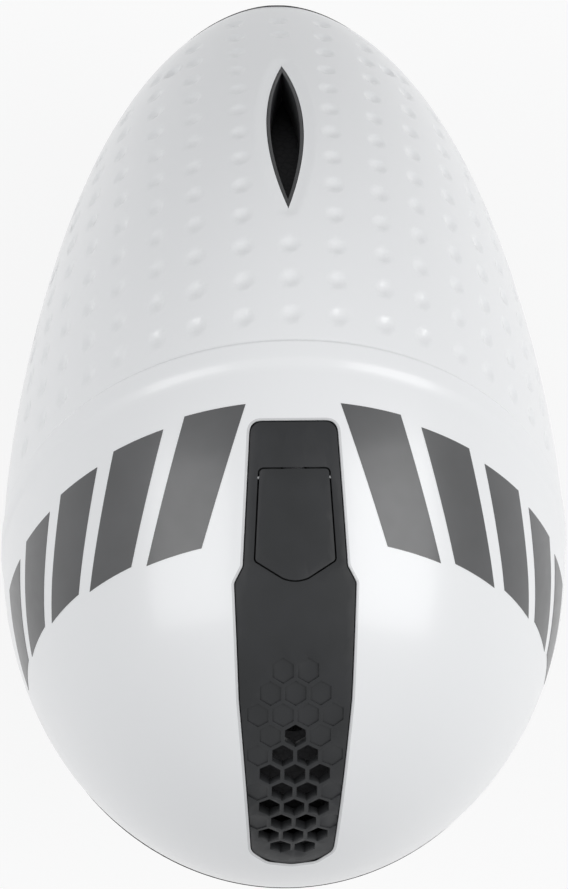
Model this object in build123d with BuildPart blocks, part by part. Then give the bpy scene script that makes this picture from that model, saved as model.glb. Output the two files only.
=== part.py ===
"""An aero time trial helmet: a smooth front cap, a dimpled drooping tail, a dark vent panel on the crown
with a sprung water door and a hexagon grille, a foam liner, pads, a dial-adjusted cradle and a chin strap.

Millimetres. +Z is up, the front of the helmet faces -Y, and +X is to the right as seen from behind.
The origin is the centre of the head at the level of the headband.
"""

import os
from functools import cache
from math import asin, atan2, ceil, cos, degrees, pi, radians, sin, sqrt

from build123d import *

# Clearances
FIXED_GAP = 0.1
SEAT_GAP = 0.3
RUNNING_GAP = 0.08
CUT_OVERRUN = 20.0

# Outer form of the helmet
HALF_WIDTH = 108.0
FRONT_REACH = 125.5
TAIL_REACH = 217.0
CROWN_Z = 138.0
GIRTH_Z = 5.0
TAIL_TIP_Z = -22.0
SKIRT_DEPTH = 150.0
SHELL_WALL = 2.0

# How the width, the top line and the skirt fall away towards the tail: powers of the station's cosine
TAIL_WIDTH_POWER = 1.09
TAIL_WIDTH_POWER_GAIN = 0.9
TAIL_TOP_POWER = 1.25
TAIL_TOP_POWER_GAIN = 0.42
TAIL_SKIRT_POWER = 1.1

# Stations of the loft in degrees, from the front pole at -90 to the tail pole at 90
STATION_ANGLES = (-86.5, -80, -72, -62, -50, -37, -24, -12, 0, 12, 24, 36, 47, 57, 66, 73, 79, 84, 87.5)
SECTION_HALF_STEPS = 7
SECTION_HALF_ANGLE = 123.0
LEAST_SECTION = 1.5

# Lower rim in the side view, from the brim to the tail
BRIM_Z = 17.0
BROW_Y = -108.0
BROW_Z = 12.0
TEMPLE_Y = -90.0
TEMPLE_Z = 3.0
CHEEK_Y = -72.0
CHEEK_Z = -30.0
EAR_FRONT_Y = -54.0
EAR_REAR_Y = 56.0
EAR_BOTTOM_Z = -64.0
NAPE_Y = 92.0
NAPE_Z = -44.0
TAIL_EDGE_Z = -20.5
RIM_RADIUS = 16.0
GUARD_HEIGHT = 3.5
GUARD_PROUD = 0.3

# Raised trip band between the smooth cap and the dimpled tail, cut by leaning planes
BAND_REAR_Y = 81.5
BAND_WIDTH = 8.0
BAND_HEIGHT = 0.7
BAND_LEAN = 32.6

# Dimples
DIMPLE_DEPTH = 0.75
DIMPLE_RADIUS = 3.3
DIMPLE_ROW_PITCH = 14.5
DIMPLE_COLUMN_PITCH = 17.0
DIMPLE_FIRST_ROW = 10.5
DIMPLE_ROWS = 13
DIMPLE_COLUMNS = 9
DIMPLE_LEAST_RISE = 9.0
DIMPLE_SLIT_MARGIN = 9.0
DIMPLE_WALK = 1.0

# Foam liner
LINER_GAP = 0.3
LINER_EDGE_RISE = 1.5
CAVITY_HALF_WIDTH = 88.0
CAVITY_HALF_LENGTH = 105.0
CAVITY_CENTRE_Y = -1.0
CAVITY_HEIGHT = 112.0
EAR_ARCH_FRONT_Y = -67.0
EAR_ARCH_REAR_Y = 66.0
EAR_ARCH_TOP_Z = -6.0
EAR_ARCH_RADIUS = 9.0
TAIL_HOLLOW_FRONT_Y = 124.0
TAIL_HOLLOW_WALL = 24.0

# Vent panel: half widths and places of its outline, seen from above
PANEL_RECESS = 0.4
PANEL_WALL = 3.0
PANEL_FLANGE = 3.0
PANEL_GAP = 0.35
PANEL_REAR_Y = 53.0
PANEL_REAR_HALF = 15.4
PANEL_NECK_Y = 1.8
PANEL_NECK_HALF = 18.5
PANEL_SHOULDER_Y = -4.2
PANEL_SHOULDER_HALF = 21.6
PANEL_MID_Y = -46.0
PANEL_MID_HALF = 20.1
PANEL_FRONT_Y = -105.0
PANEL_FRONT_HALF = 15.2
PANEL_NOSE_Y = -110.8
PANEL_CORNER = 4.5
PANEL_SOFT_CORNER = 3.0

# Hexagon cells of the vent panel
HEX_WIDTH = 7.5
HEX_LENGTH = 9.8
HEX_COLUMN_PITCH = 9.0
HEX_ROW_PITCH = 8.75
HEX_FIRST_ROW_Y = -35.5
HEX_BLIND_DEPTH = 0.6
# A hexagon's corners as shares of its width and length
HEX_CORNER_SHARES = ((0.5, 0.25), (0, 0.5), (-0.5, 0.25), (-0.5, -0.25), (0, -0.5), (0.5, -0.25))
# One entry a row, from the crown to the brow: column numbers of the open cells, then of the blind ones
HEX_ROWS = (
    ((), (-0.5, 0.5)),
    ((), (-1, 0, 1)),
    ((), (-1.5, -0.5, 0.5, 1.5)),
    ((0,), (-1, 1)),
    ((-0.5, 0.5), (-1.5, 1.5)),
    ((-1, 0, 1), ()),
    ((-0.5, 0.5), (-1.5, 1.5)),
    ((-1, 0, 1), ()),
    ((-0.5, 0.5), (-1.5, 1.5)),
    ((-1, 0, 1), ()),
    ((-0.5, 0.5), ()),
)

# Water door in the panel, its hinge and its leaf spring
DOOR_GAP = 0.6
DOOR_WALL = 2.4
DOOR_REAR_Y = 36.0
DOOR_REAR_HALF = 12.2
DOOR_CORNER_Y = 3.8
DOOR_CORNER_HALF = 14.1
DOOR_CHEEK_Y = -2.2
DOOR_CHEEK_HALF = 4.6
DOOR_NOSE_Y = -3.2
DOOR_CORNER_RADIUS = 1.4
DOOR_SEAL_WIDTH = 1.5
DOOR_SEAL_THICKNESS = 1.2
HINGE_SETBACK = 3.0
HINGE_DEPTH = 4.2
HINGE_PIN_RADIUS = 0.8
HINGE_BARREL_RADIUS = 1.8
HINGE_KNUCKLE_OUT = 10.5
HINGE_KNUCKLE_IN = 5.5
HINGE_BOSS_IN = 14.6
HINGE_LEDGE_START = 2.2
HINGE_LEDGE_SIDE_START = 1.1
HINGE_LEDGE_END = 5.0
HINGE_LEDGE_IN = 4.6
HINGE_LEDGE_SIDE_IN = 11.2
HINGE_LEDGE_OUT = 14.2
HINGE_BOSS_LENGTH = 1.7
SPRING_WIDTH = 8.0
SPRING_THICKNESS = 0.5
SPRING_REACH = 13.0
SPRING_FOOT = 9.0

# Air channel in the liner, its throats down to the head, and the pockets for the panel
CHANNEL_HALF_WIDTH = 12.5
CHANNEL_DEPTH = 17.0
CHANNEL_FRONT_Y = -100.0
CHANNEL_REAR_Y = 178.0
THROAT_HALF_WIDTH = 18.5
THROAT_FRONT_Y = -8.0
THROAT_REAR_Y = 50.0
BROW_PORT_RADIUS = 6.5
BROW_PORT_YS = (-64.0, -44.0, -24.0)

DIAL_POCKET_HALF = 31.0
DIAL_POCKET_TOP = 22.0
DIAL_POCKET_REAR = 101.0

# Tail vent
SLIT_FRONT_Y = 134.0
SLIT_REAR_Y = 191.5
SLIT_HALF_WIDTH = 6.9
DUCT_WALL = 1.3
DUCT_RECESS = 0.9
DUCT_DEPTH = 12.0

# Retention: the headband's arc lies in a plane that leans down towards the nape, about the temple pivots
PIVOT_Y = 18.0
PIVOT_Z = 8.0
BELT_LEAN = 21.0
BELT_RADIUS = 80.0
BELT_WALL = 1.4
BELT_HALF_HEIGHT = 4.5
BELT_START = -14.0
BELT_BAND_END = 50.0
BELT_STEP_START = 42.0
BELT_END = 112.0
RACK_HEIGHT = 5.2
SLOT_START = -9.5
SLOT_END = 6.5
RACK_TEETH_BEFORE = 7
RACK_TEETH_AFTER = 6

# Dial and its pinion
PITCH_RADIUS = 4.0
PINION_TEETH = 10
TOOTH_ADDENDUM = 0.6
TOOTH_DEDENDUM = 0.85
TOOTH_TIP_SHARE = 0.2
RACK_ROOT_SHARE = 0.66
PINION_ROOT_SHARE = 0.6
PINION_TIP_SHARE = 0.18
DIAL_RADIUS = 13.0
DIAL_THICKNESS = 7.4
DIAL_FLUTES = 18
DIAL_FLUTE_RADIUS = 1.1
DIAL_EDGE = 1.2
SHAFT_RADIUS = 2.4
SHAFT_SEAT = 4.0
SCREW_RADIUS = 1.2
SCREW_HEAD_RADIUS = 2.8
SCREW_HEAD_HEIGHT = 1.8

# Rear cradle, its housing and its hanger
YOKE_WALL = 1.8
YOKE_START = 52.0
YOKE_HALF_HEIGHT = 13.0
YOKE_WINDOW_START = 60.0
YOKE_WINDOW_END = 70.0
YOKE_WINDOW_HALF_HEIGHT = 7.0
PRONG_START = 66.0
PRONG_END = 80.0
PRONG_DROP = 27.0
CRADLE_CORNER = 4.0
HOUSING_START = 72.0
HOUSING_BACK_WALL = 2.5
HOUSING_RIB = 2.2
HANGER_HALF_WIDTH = 7.0
HANGER_WALL = 1.6
HANGER_RADIUS = 80.6
HANGER_TOP_ANGLE = 15.0
HANGER_FOOT_ANGLE = 9.8
HANGER_TAB_TOP = 17.0
HANGER_HOLES = 5
HANGER_HOLE_RADIUS = 1.4
HANGER_HOLE_PITCH = 4.0
GUIDE_START = 3.5
GUIDE_END = 10.5
GUIDE_HALF_WIDTH = 11.0
GUIDE_INNER_RADIUS = 78.4
GUIDE_OUTER_RADIUS = 86.2

# Temple pivots
TEMPLE_PLUG_RADIUS = 7.0
TEMPLE_PLUG_DEPTH = 6.0
TEMPLE_WALL_X = 86.0
TEMPLE_BOSS_RADIUS = 4.4
TEMPLE_PIN_RADIUS = 2.0
TEMPLE_PIN_DEPTH = 4.0
TEMPLE_HEAD_RADIUS = 3.6
TEMPLE_HEAD_THICKNESS = 1.4

# Side straps: they lie in a plane that leans in towards the jaw, and meet at the divider
WEBBING_WIDTH = 15.0
WEBBING_THICKNESS = 1.2
DIVIDER_X = 76.0
DIVIDER_Y = 4.0
DIVIDER_Z = -72.0
STRAP_LEAN = 11.0
STRAP_LAYER = 0.8
ANCHOR_FRONT_Y = -48.0
ANCHOR_REAR_Y = 42.0
ANCHOR_DROP = 12.0
ANCHOR_RADIUS = 5.5
ANCHOR_PLUG_LENGTH = 9.0
ANCHOR_CLIP_WIDTH = 19.0
ANCHOR_CLIP_HEIGHT = 8.0
ANCHOR_CLIP_THICKNESS = 4.4
STRAP_TAIL_X = 4.0
STRAP_TAIL_Y = 6.5

# Divider and its cam lever
DIVIDER_TOP_HALF = 20.0
DIVIDER_TOP_Y = 9.0
DIVIDER_WAIST_Y = 3.0
DIVIDER_FOOT_HALF = 14.6
DIVIDER_FOOT_Y = -11.0
DIVIDER_WALL = 1.8
DIVIDER_BACK = -3.4
DIVIDER_BAR_LOW = 3.5
DIVIDER_BAR_HIGH = 8.5
DIVIDER_FRONT = 3.4
CHEEK_WALL = 1.9
LEVER_PIVOT_Y = -3.6
LEVER_PIVOT_RISE = 1.6
LEVER_BARREL_RADIUS = 1.3
LEVER_PIN_RADIUS = 0.7
LEVER_THICKNESS = 1.5
LEVER_SIDE_GAP = 0.25

# Chin strap: its plane holds X and leans forward, below the dividers
CHIN_LEAN = 41.8
CHIN_START_GAP = 5.4
CHIN_HALF_WIDTH = 28.0
CHIN_DEPTH = 60.0
CHIN_RADIUS = 30.0

# Buckle, keeper and chin pad; places are distances along the straight left run of the chin strap
FEMALE_START = 6.0
FEMALE_LENGTH = 23.0
FEMALE_WIDTH = 25.0
FEMALE_THICKNESS = 8.0
BUCKLE_WALL = 1.6
BUCKLE_EDGE = 1.6
MALE_LENGTH = 13.0
MALE_WIDTH = 23.0
MALE_THICKNESS = 6.0
PRONG_LENGTH = 14.0
PRONG_WIDTH = 2.8
PRONG_THICKNESS = 3.6
WINDOW_LENGTH = 9.0
STRAP_HOLD = 5.0
KEEPER_START = 20.0
KEEPER_LENGTH = 5.0
KEEPER_WALL = 1.5
CHIN_PAD_REACH = 16.0
CHIN_PAD_HALF_WIDTH = 11.0
CHIN_PAD_HALF_THICKNESS = 3.2

# Comfort pads
PAD_GAP = 0.3
PAD_END_SHARE = 0.97
PAD_STATIONS = 9
BROW_PAD_AZIMUTH = 52.0
BROW_PAD_ELEVATION = 17.0
BROW_PAD_HALF_WIDTH = 13.0
BROW_PAD_HALF_THICKNESS = 3.2
TOP_PAD_SWING = 36.0
TOP_PAD_TILT = 20.0
TOP_PAD_HALF_WIDTH = 9.0
TOP_PAD_HALF_THICKNESS = 2.8
SIDE_PAD_AZIMUTH = 92.0
SIDE_PAD_SWING = 30.0
SIDE_PAD_ELEVATION = 30.0
SIDE_PAD_HALF_WIDTH = 10.0
SIDE_PAD_HALF_THICKNESS = 2.6
CRADLE_PAD_START = 64.0
CRADLE_PAD_HALF_WIDTH = 10.0
CRADLE_PAD_HALF_THICKNESS = 1.8
EAR_PAD_Y = 0.0
EAR_PAD_Z = -38.0
EAR_PAD_HALF_LENGTH = 42.0
EAR_PAD_HALF_WIDTH = 15.0
EAR_PAD_HALF_THICKNESS = 2.6


def station(angle):
    """Half width, height over the girth, girth level, skirt depth and y of the outer form at a station."""
    along, across = sin(radians(angle)), cos(radians(angle))
    if angle <= 0:
        rise = CROWN_Z - GIRTH_Z
        return HALF_WIDTH * across, rise * across, GIRTH_Z, SKIRT_DEPTH * across, FRONT_REACH * along
    width_power = TAIL_WIDTH_POWER + TAIL_WIDTH_POWER_GAIN * (1 - along) ** 2
    top_power = TAIL_TOP_POWER + TAIL_TOP_POWER_GAIN * along**3
    girth = GIRTH_Z + (TAIL_TIP_Z - GIRTH_Z) * along**2
    top = TAIL_TIP_Z + (CROWN_Z - TAIL_TIP_Z) * across**top_power
    half = HALF_WIDTH * across**width_power
    return half, top - girth, girth, SKIRT_DEPTH * across**TAIL_SKIRT_POWER, TAIL_REACH * along


def station_at(y):
    """The station's sizes at a place along the helmet."""
    reach = TAIL_REACH if y > 0 else FRONT_REACH
    return station(degrees(asin(y / reach)))


def surface_z(x, y):
    """Height of the outer form over a point of the plan."""
    half, rise, girth, _, _ = station_at(y)
    return girth + rise * sqrt(1 - (x / half) ** 2)


def surface_x(y, z):
    """Half width of the outer form below the girth."""
    half, _, girth, skirt, _ = station_at(y)
    return half * sqrt(1 - ((girth - z) / skirt) ** 2)


def surface_point(x, y):
    return Vector(x, y, surface_z(x, y))


def surface_normal(x, y):
    """Outward normal of the outer form over a point of the plan."""
    step = HALF_WIDTH / 1000
    slope_x = (surface_z(x + step, y) - surface_z(x - step, y)) / (2 * step)
    slope_y = (surface_z(x, y + step) - surface_z(x, y - step)) / (2 * step)
    return Vector(-slope_x, -slope_y, 1).normalized()


@cache
def hull(inset):
    """The outer form as a solid, drawn in by the same distance all over."""
    with BuildPart() as body:
        for angle in STATION_ANGLES:
            half, rise, girth, skirt, y = station(angle)
            if min(half, rise) - inset < LEAST_SECTION and inset > 0:
                continue
            points = []
            for step in range(-SECTION_HALF_STEPS, SECTION_HALF_STEPS + 1):
                turn = radians(step * SECTION_HALF_ANGLE / SECTION_HALF_STEPS)
                tall = rise if cos(turn) > 0 else skirt
                points.append(((half - inset) * sin(turn), girth + (tall - inset) * cos(turn)))
            with BuildSketch(Plane.XZ.offset(inset * sin(radians(angle)) - y)):
                with BuildLine():
                    Spline(*points)
                    Line(points[-1], points[0])
                make_face()
        loft()
    return body.part


@cache
def above_rim(rise):
    """Everything above the lower rim, or above a line that follows it higher up."""
    rear_y = TAIL_REACH + CUT_OVERRUN
    front_y = -FRONT_REACH - CUT_OVERRUN
    top_z = CROWN_Z + CUT_OVERRUN
    rim = [
        (front_y, BRIM_Z),
        (BROW_Y, BROW_Z),
        (TEMPLE_Y, TEMPLE_Z),
        (CHEEK_Y, CHEEK_Z),
        (EAR_FRONT_Y, EAR_BOTTOM_Z),
        (EAR_REAR_Y, EAR_BOTTOM_Z),
        (NAPE_Y, NAPE_Z),
        (rear_y, TAIL_EDGE_Z),
    ]
    with BuildPart() as kept:
        with BuildSketch(Plane.YZ):
            with BuildLine():
                Polyline(*rim, (rear_y, top_z), (front_y, top_z), close=True)
            make_face()
            corners = [v for v in vertices() if front_y < v.X < rear_y]
            fillet(corners, RIM_RADIUS)
            if rise:
                offset(amount=-rise, kind=Kind.INTERSECTION)
        extrude(amount=HALF_WIDTH + CUT_OVERRUN, both=True)
    return kept.part


def upright_prism(outline):
    """A plan outline raised through the whole helmet."""
    with BuildPart() as prism:
        with BuildSketch():
            add(outline)
        extrude(amount=CROWN_Z + CUT_OVERRUN)
    return prism.part


def layer(region, top_inset, bottom_inset):
    """The part of a region that lies between two depths under the outer form."""
    with BuildPart() as slab:
        add(region)
        add(hull(top_inset), mode=Mode.INTERSECT)
        add(hull(bottom_inset), mode=Mode.SUBTRACT)
    return slab.part


def leaning_slab():
    """The slab between the two planes that bound the trip band."""
    top = Vector(0, BAND_REAR_Y, surface_z(0, BAND_REAR_Y))
    normal = Vector(0, cos(radians(BAND_LEAN)), -sin(radians(BAND_LEAN)))
    with BuildPart() as slab:
        with BuildSketch(Plane(origin=top, x_dir=(1, 0, 0), z_dir=normal)):
            Rectangle(4 * HALF_WIDTH, 4 * HALF_WIDTH)
        extrude(amount=-BAND_WIDTH)
    return slab.part


def panel_outline(grow):
    """Plan outline of the vent panel's opening, grown by a margin."""
    side = [
        (0, PANEL_REAR_Y),
        (PANEL_REAR_HALF, PANEL_REAR_Y),
        (PANEL_NECK_HALF, PANEL_NECK_Y),
        (PANEL_SHOULDER_HALF, PANEL_SHOULDER_Y),
        (PANEL_MID_HALF, PANEL_MID_Y),
        (PANEL_FRONT_HALF, PANEL_FRONT_Y),
    ]
    with BuildSketch() as outline:
        with BuildLine():
            Polyline(*side)
            mirror(about=Plane.YZ)
            front = PANEL_FRONT_HALF
            ThreePointArc((front, PANEL_FRONT_Y), (0, PANEL_NOSE_Y), (-front, PANEL_FRONT_Y))
        make_face()
        rear_corners = vertices().group_by(Axis.Y)[-1]
        fillet(rear_corners, PANEL_CORNER)
        shoulders = [v for v in vertices() if PANEL_MID_Y < v.Y < PANEL_NECK_Y + PANEL_GAP]
        fillet(shoulders, PANEL_SOFT_CORNER)
        nose_corners = [v for v in vertices() if abs(v.Y - PANEL_FRONT_Y) < PANEL_GAP]
        fillet(nose_corners, PANEL_CORNER)
        if grow:
            offset(amount=grow, kind=Kind.INTERSECTION)
    return outline.sketch


def door_outline(grow):
    """Plan outline of the water door, grown by a margin."""
    side = [
        (0, DOOR_REAR_Y),
        (DOOR_REAR_HALF, DOOR_REAR_Y),
        (DOOR_CORNER_HALF, DOOR_CORNER_Y),
        (DOOR_CHEEK_HALF, DOOR_CHEEK_Y),
    ]
    with BuildSketch() as outline:
        with BuildLine():
            Polyline(*side)
            mirror(about=Plane.YZ)
            cheek = DOOR_CHEEK_HALF
            ThreePointArc((cheek, DOOR_CHEEK_Y), (0, DOOR_NOSE_Y), (-cheek, DOOR_CHEEK_Y))
        make_face()
        corners = [v for v in vertices() if abs(v.X) > DOOR_CHEEK_HALF + PANEL_GAP]
        fillet(corners, DOOR_CORNER_RADIUS)
        if grow:
            offset(amount=grow, kind=Kind.INTERSECTION)
    return outline.sketch


def crown_walk(start_y, distance):
    """The y reached after walking a distance along the crown line, towards the tail or the brow."""
    steps = ceil(abs(distance) / DIMPLE_WALK)
    y = start_y
    for _ in range(steps):
        rise = surface_z(0, y + distance / steps) - surface_z(0, y)
        y += (distance / steps) / sqrt(1 + (rise * steps / distance) ** 2)
    return y


def row_walk(y_row, distance):
    """The plan point reached by walking along a leaning row, out from the crown line."""
    lean = sin(radians(BAND_LEAN)) / cos(radians(BAND_LEAN))
    crown = surface_z(0, y_row)
    x, y, z, walked = 0, y_row, crown, 0
    while walked < distance:
        ahead = x + DIMPLE_WALK
        if ahead >= station_at(y)[0]:
            return None
        new_y = y_row - lean * (crown - surface_z(ahead, y))
        if ahead >= station_at(new_y)[0]:
            return None
        new_z = surface_z(ahead, new_y)
        walked += sqrt(DIMPLE_WALK**2 + (new_y - y) ** 2 + (new_z - z) ** 2)
        x, y, z = ahead, new_y, new_z
    return x, y


def in_slit_margin(x, y):
    near_slit = SLIT_FRONT_Y - DIMPLE_SLIT_MARGIN < y < SLIT_REAR_Y + DIMPLE_SLIT_MARGIN
    return near_slit and abs(x) < SLIT_HALF_WIDTH


def dimple_places():
    """Plan points of all the dimples on the tail."""
    places = []
    for row in range(DIMPLE_ROWS):
        y_row = crown_walk(BAND_REAR_Y, DIMPLE_FIRST_ROW + row * DIMPLE_ROW_PITCH)
        for column in range(DIMPLE_COLUMNS):
            place = row_walk(y_row, column * DIMPLE_COLUMN_PITCH)
            if place is None:
                break
            x, y = place
            if surface_z(x, y) < station_at(y)[2] + DIMPLE_LEAST_RISE or in_slit_margin(x, y):
                continue
            places.append((x, y))
            if x > 0:
                places.append((-x, y))
    return places


def dimple_centres():
    """Centres of the balls that cut the dimples."""
    ball = dimple_ball_radius()
    return [surface_point(x, y) + surface_normal(x, y) * (ball - DIMPLE_DEPTH) for x, y in dimple_places()]


def dimple_ball_radius():
    return (DIMPLE_RADIUS**2 + DIMPLE_DEPTH**2) / (2 * DIMPLE_DEPTH)


def slit_plane():
    """A plane on the outer form at the middle of the tail vent."""
    middle = (SLIT_FRONT_Y + SLIT_REAR_Y) / 2
    return Plane(origin=surface_point(0, middle), x_dir=(1, 0, 0), z_dir=surface_normal(0, middle))


def slit_prism(grow):
    """The lens of the tail vent, pushed square to the tail, grown by a margin."""
    plane = slit_plane()
    half_length = (SLIT_REAR_Y - SLIT_FRONT_Y) / 2 / plane.z_dir.Z
    with BuildPart() as prism:
        with BuildSketch(plane):
            with BuildLine():
                ThreePointArc((0, -half_length), (SLIT_HALF_WIDTH, 0), (0, half_length))
                ThreePointArc((0, half_length), (-SLIT_HALF_WIDTH, 0), (0, -half_length))
            make_face()
            if grow:
                offset(amount=grow, kind=Kind.INTERSECTION)
        extrude(amount=DUCT_DEPTH + CUT_OVERRUN, both=True)
    return prism.part


os.makedirs("parts", exist_ok=True)

made = []


def finish(part, name):
    """Labels a finished piece and writes it out."""
    part.label = name
    export_step(part, f"parts/{name}.step")
    made.append(name)
    print(name, len(part.solids()), round(part.volume))


# Outer shell: the smooth cap with its trip band, the panel opening, the tail vent and the dimples
with BuildPart() as trip_band:
    add(hull(-BAND_HEIGHT))
    add(leaning_slab(), mode=Mode.INTERSECT)

with BuildPart() as outer_shell:
    add(hull(0))
    add(trip_band.part)
    with Locations(*dimple_centres()):
        Sphere(dimple_ball_radius(), mode=Mode.SUBTRACT)
    add(hull(SHELL_WALL), mode=Mode.SUBTRACT)
    add(above_rim(GUARD_HEIGHT), mode=Mode.INTERSECT)
    add(upright_prism(panel_outline(0)), mode=Mode.SUBTRACT)
    add(slit_prism(0), mode=Mode.SUBTRACT)
finish(outer_shell.part, "outer_shell")


# Rim guard: a soft edge strip that closes the lower rim all round
with BuildPart() as guard_skin:
    add(hull(-GUARD_PROUD))
    add(hull(SHELL_WALL), mode=Mode.SUBTRACT)
    add(above_rim(0), mode=Mode.INTERSECT)

with BuildPart() as rim_guard:
    add(guard_skin.part)
    add(above_rim(GUARD_HEIGHT - FIXED_GAP), mode=Mode.SUBTRACT)
finish(rim_guard.part, "rim_guard")


def head_form(inset):
    """The space for the head: a half ellipsoid over an upright elliptical wall."""
    with BuildPart() as dome:
        Sphere(1)
        scale(by=(CAVITY_HALF_WIDTH - inset, CAVITY_HALF_LENGTH - inset, CAVITY_HEIGHT - inset))
    with BuildPart() as form:
        with BuildSketch(Plane((0, CAVITY_CENTRE_Y, 0))):
            Ellipse(CAVITY_HALF_WIDTH - inset, CAVITY_HALF_LENGTH - inset)
        extrude(amount=-SKIRT_DEPTH)
        add(dome.part.moved(Location((0, CAVITY_CENTRE_Y, 0))))
    return form.part


def box_between(low, high, plane=Plane.XY):
    """A box given by two opposite corners in a plane's own axes."""
    sizes = [b - a for a, b in zip(low, high)]
    with BuildPart(plane) as block:
        with Locations(Location(low)):
            Box(*sizes, align=(Align.MIN, Align.MIN, Align.MIN))
    return block.part


def ear_arch():
    """The opening in the liner round each ear."""
    top_y = (EAR_ARCH_FRONT_Y, EAR_ARCH_REAR_Y)
    with BuildPart() as arch:
        with BuildSketch(Plane.YZ):
            with BuildLine():
                Polyline(
                    (top_y[0], -SKIRT_DEPTH),
                    (top_y[0], EAR_ARCH_TOP_Z),
                    (top_y[1], EAR_ARCH_TOP_Z),
                    (top_y[1], -SKIRT_DEPTH),
                    close=True,
                )
            make_face()
            fillet(vertices().group_by(Axis.Y)[-1], EAR_ARCH_RADIUS)
        extrude(amount=HALF_WIDTH + CUT_OVERRUN, both=True)
    return arch.part


# The headband's plane: its x axis runs through the temple pivots, its y axis down to the nape
lean = radians(BELT_LEAN)
belt_plane = Plane(origin=(0, PIVOT_Y, PIVOT_Z), x_dir=(1, 0, 0), z_dir=(0, sin(lean), cos(lean)))
pivot_plane = Plane(origin=(0, PIVOT_Y, PIVOT_Z), x_dir=(0, 1, 0), z_dir=(1, 0, 0))


# The side straps' plane leans in towards the jaw: its x axis runs to the tail, its y axis up along the face
strap_turn = radians(STRAP_LEAN)
strap_plane = Plane(
    origin=(DIVIDER_X, DIVIDER_Y, DIVIDER_Z), x_dir=(0, 1, 0), z_dir=(cos(strap_turn), 0, -sin(strap_turn))
)
anchor_rise = (EAR_ARCH_TOP_Z - ANCHOR_DROP - DIVIDER_Z) / cos(strap_turn)
strap_places = ((ANCHOR_FRONT_Y, STRAP_LAYER, "front_strap"), (ANCHOR_REAR_Y, -STRAP_LAYER, "rear_strap"))


def anchor_rod(anchor_x, layer_height, radius, length):
    """An upright rod from the liner's edge over a strap's end: up if the length is positive."""
    stem = strap_plane.from_local_coords((anchor_x, anchor_rise, layer_height))
    with BuildPart() as rod:
        with BuildSketch(Plane((stem.X, stem.Y, EAR_ARCH_TOP_Z))):
            Circle(radius)
        extrude(amount=length)
    return rod.part


def arc_wall(plane, inner, outer, start, end, low, high):
    """A piece of a round wall: two radii, two angles in degrees and two heights on a plane."""
    with BuildPart() as wall:
        with BuildSketch(plane.offset(low)):
            with BuildLine():
                rim = CenterArc((0, 0), outer, start, end - start)
                bore = CenterArc((0, 0), inner, start, end - start)
                Line(rim @ 0, bore @ 0)
                Line(rim @ 1, bore @ 1)
            make_face()
        extrude(amount=high - low)
    return wall.part


channel_outer = BELT_RADIUS + BELT_WALL + SEAT_GAP
yoke_inner = BELT_RADIUS - SEAT_GAP - YOKE_WALL
yoke_outer = BELT_RADIUS - SEAT_GAP
housing_outer = channel_outer + HOUSING_BACK_WALL
dial_start = housing_outer + SEAT_GAP
dial_end = dial_start + DIAL_THICKNESS


# Water door's hinge line: under the panel, a little ahead of the door's rear edge
hinge_y = DOOR_REAR_Y - HINGE_SETBACK
hinge_z = surface_z(0, hinge_y) - HINGE_DEPTH
hinge_plane = Plane(origin=(0, hinge_y, hinge_z), x_dir=(0, 1, 0), z_dir=(1, 0, 0))


def hinge_rod(radius, start, end):
    """A rod along the door's hinge line between two places."""
    with BuildPart() as rod:
        with BuildSketch(hinge_plane.offset(start)):
            Circle(radius)
        extrude(amount=end - start)
    return rod.part


def hex_planes(row_y, columns):
    """Planes on the panel's face for one row of cells."""
    planes = []
    for column in columns:
        x = column * HEX_COLUMN_PITCH
        normal = surface_normal(x, row_y)
        planes.append(
            Plane(origin=surface_point(x, row_y) - normal * PANEL_RECESS, x_dir=(1, 0, 0), z_dir=normal)
        )
    return planes


def hex_cells(kind, depth):
    """All the open cells or all the blind ones, cut to a depth from the panel's face."""
    planes = []
    for row, cells in enumerate(HEX_ROWS):
        planes += hex_planes(crown_walk(HEX_FIRST_ROW_Y, -row * HEX_ROW_PITCH), cells[kind])
    corners = [(across * HEX_WIDTH, along * HEX_LENGTH) for across, along in HEX_CORNER_SHARES]
    with BuildPart() as cells:
        with BuildSketch(*planes):
            with BuildLine():
                Polyline(*corners, close=True)
            make_face()
        extrude(amount=depth, both=True)
    return cells.part


# Vent panel: a plate set into the shell, with a flange under the shell, door bosses and the grille
panel_floor = PANEL_RECESS + PANEL_WALL
panel_plate = layer(upright_prism(panel_outline(-PANEL_GAP)), PANEL_RECESS, panel_floor)
panel_flange = layer(upright_prism(panel_outline(PANEL_FLANGE)), SHELL_WALL + FIXED_GAP, panel_floor)


def ledge_outline():
    """Plan outline of the ledges that close the gap behind the door from below."""
    back = HINGE_LEDGE_END
    with BuildSketch(Plane((0, hinge_y, 0))) as outline:
        for side in (-1, 1):
            for inner, front in (
                (HINGE_LEDGE_IN, HINGE_LEDGE_START),
                (HINGE_LEDGE_SIDE_IN, HINGE_LEDGE_SIDE_START),
            ):
                middle = (side * (inner + HINGE_LEDGE_OUT) / 2, (front + back) / 2)
                with Locations(middle):
                    Rectangle(HINGE_LEDGE_OUT - inner, back - front)
    return outline.sketch


with BuildPart() as vent_panel:
    add(panel_plate)
    add(panel_flange)
    add(upright_prism(door_outline(DOOR_GAP)), mode=Mode.SUBTRACT)
    add(layer(upright_prism(ledge_outline()), panel_floor - FIXED_GAP, panel_floor + DOOR_SEAL_THICKNESS))
    for side in (-1, 1):
        inner_end = side * HINGE_BOSS_IN
        add(hinge_rod(HINGE_BARREL_RADIUS, inner_end, inner_end + side * HINGE_BOSS_LENGTH))
    add(hinge_rod(HINGE_PIN_RADIUS, -PANEL_SHOULDER_HALF, PANEL_SHOULDER_HALF), mode=Mode.SUBTRACT)
    add(hex_cells(0, PANEL_WALL + DOOR_WALL), mode=Mode.SUBTRACT)
    add(hex_cells(1, HEX_BLIND_DEPTH), mode=Mode.SUBTRACT)
finish(vent_panel.part, "vent_panel")


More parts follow.
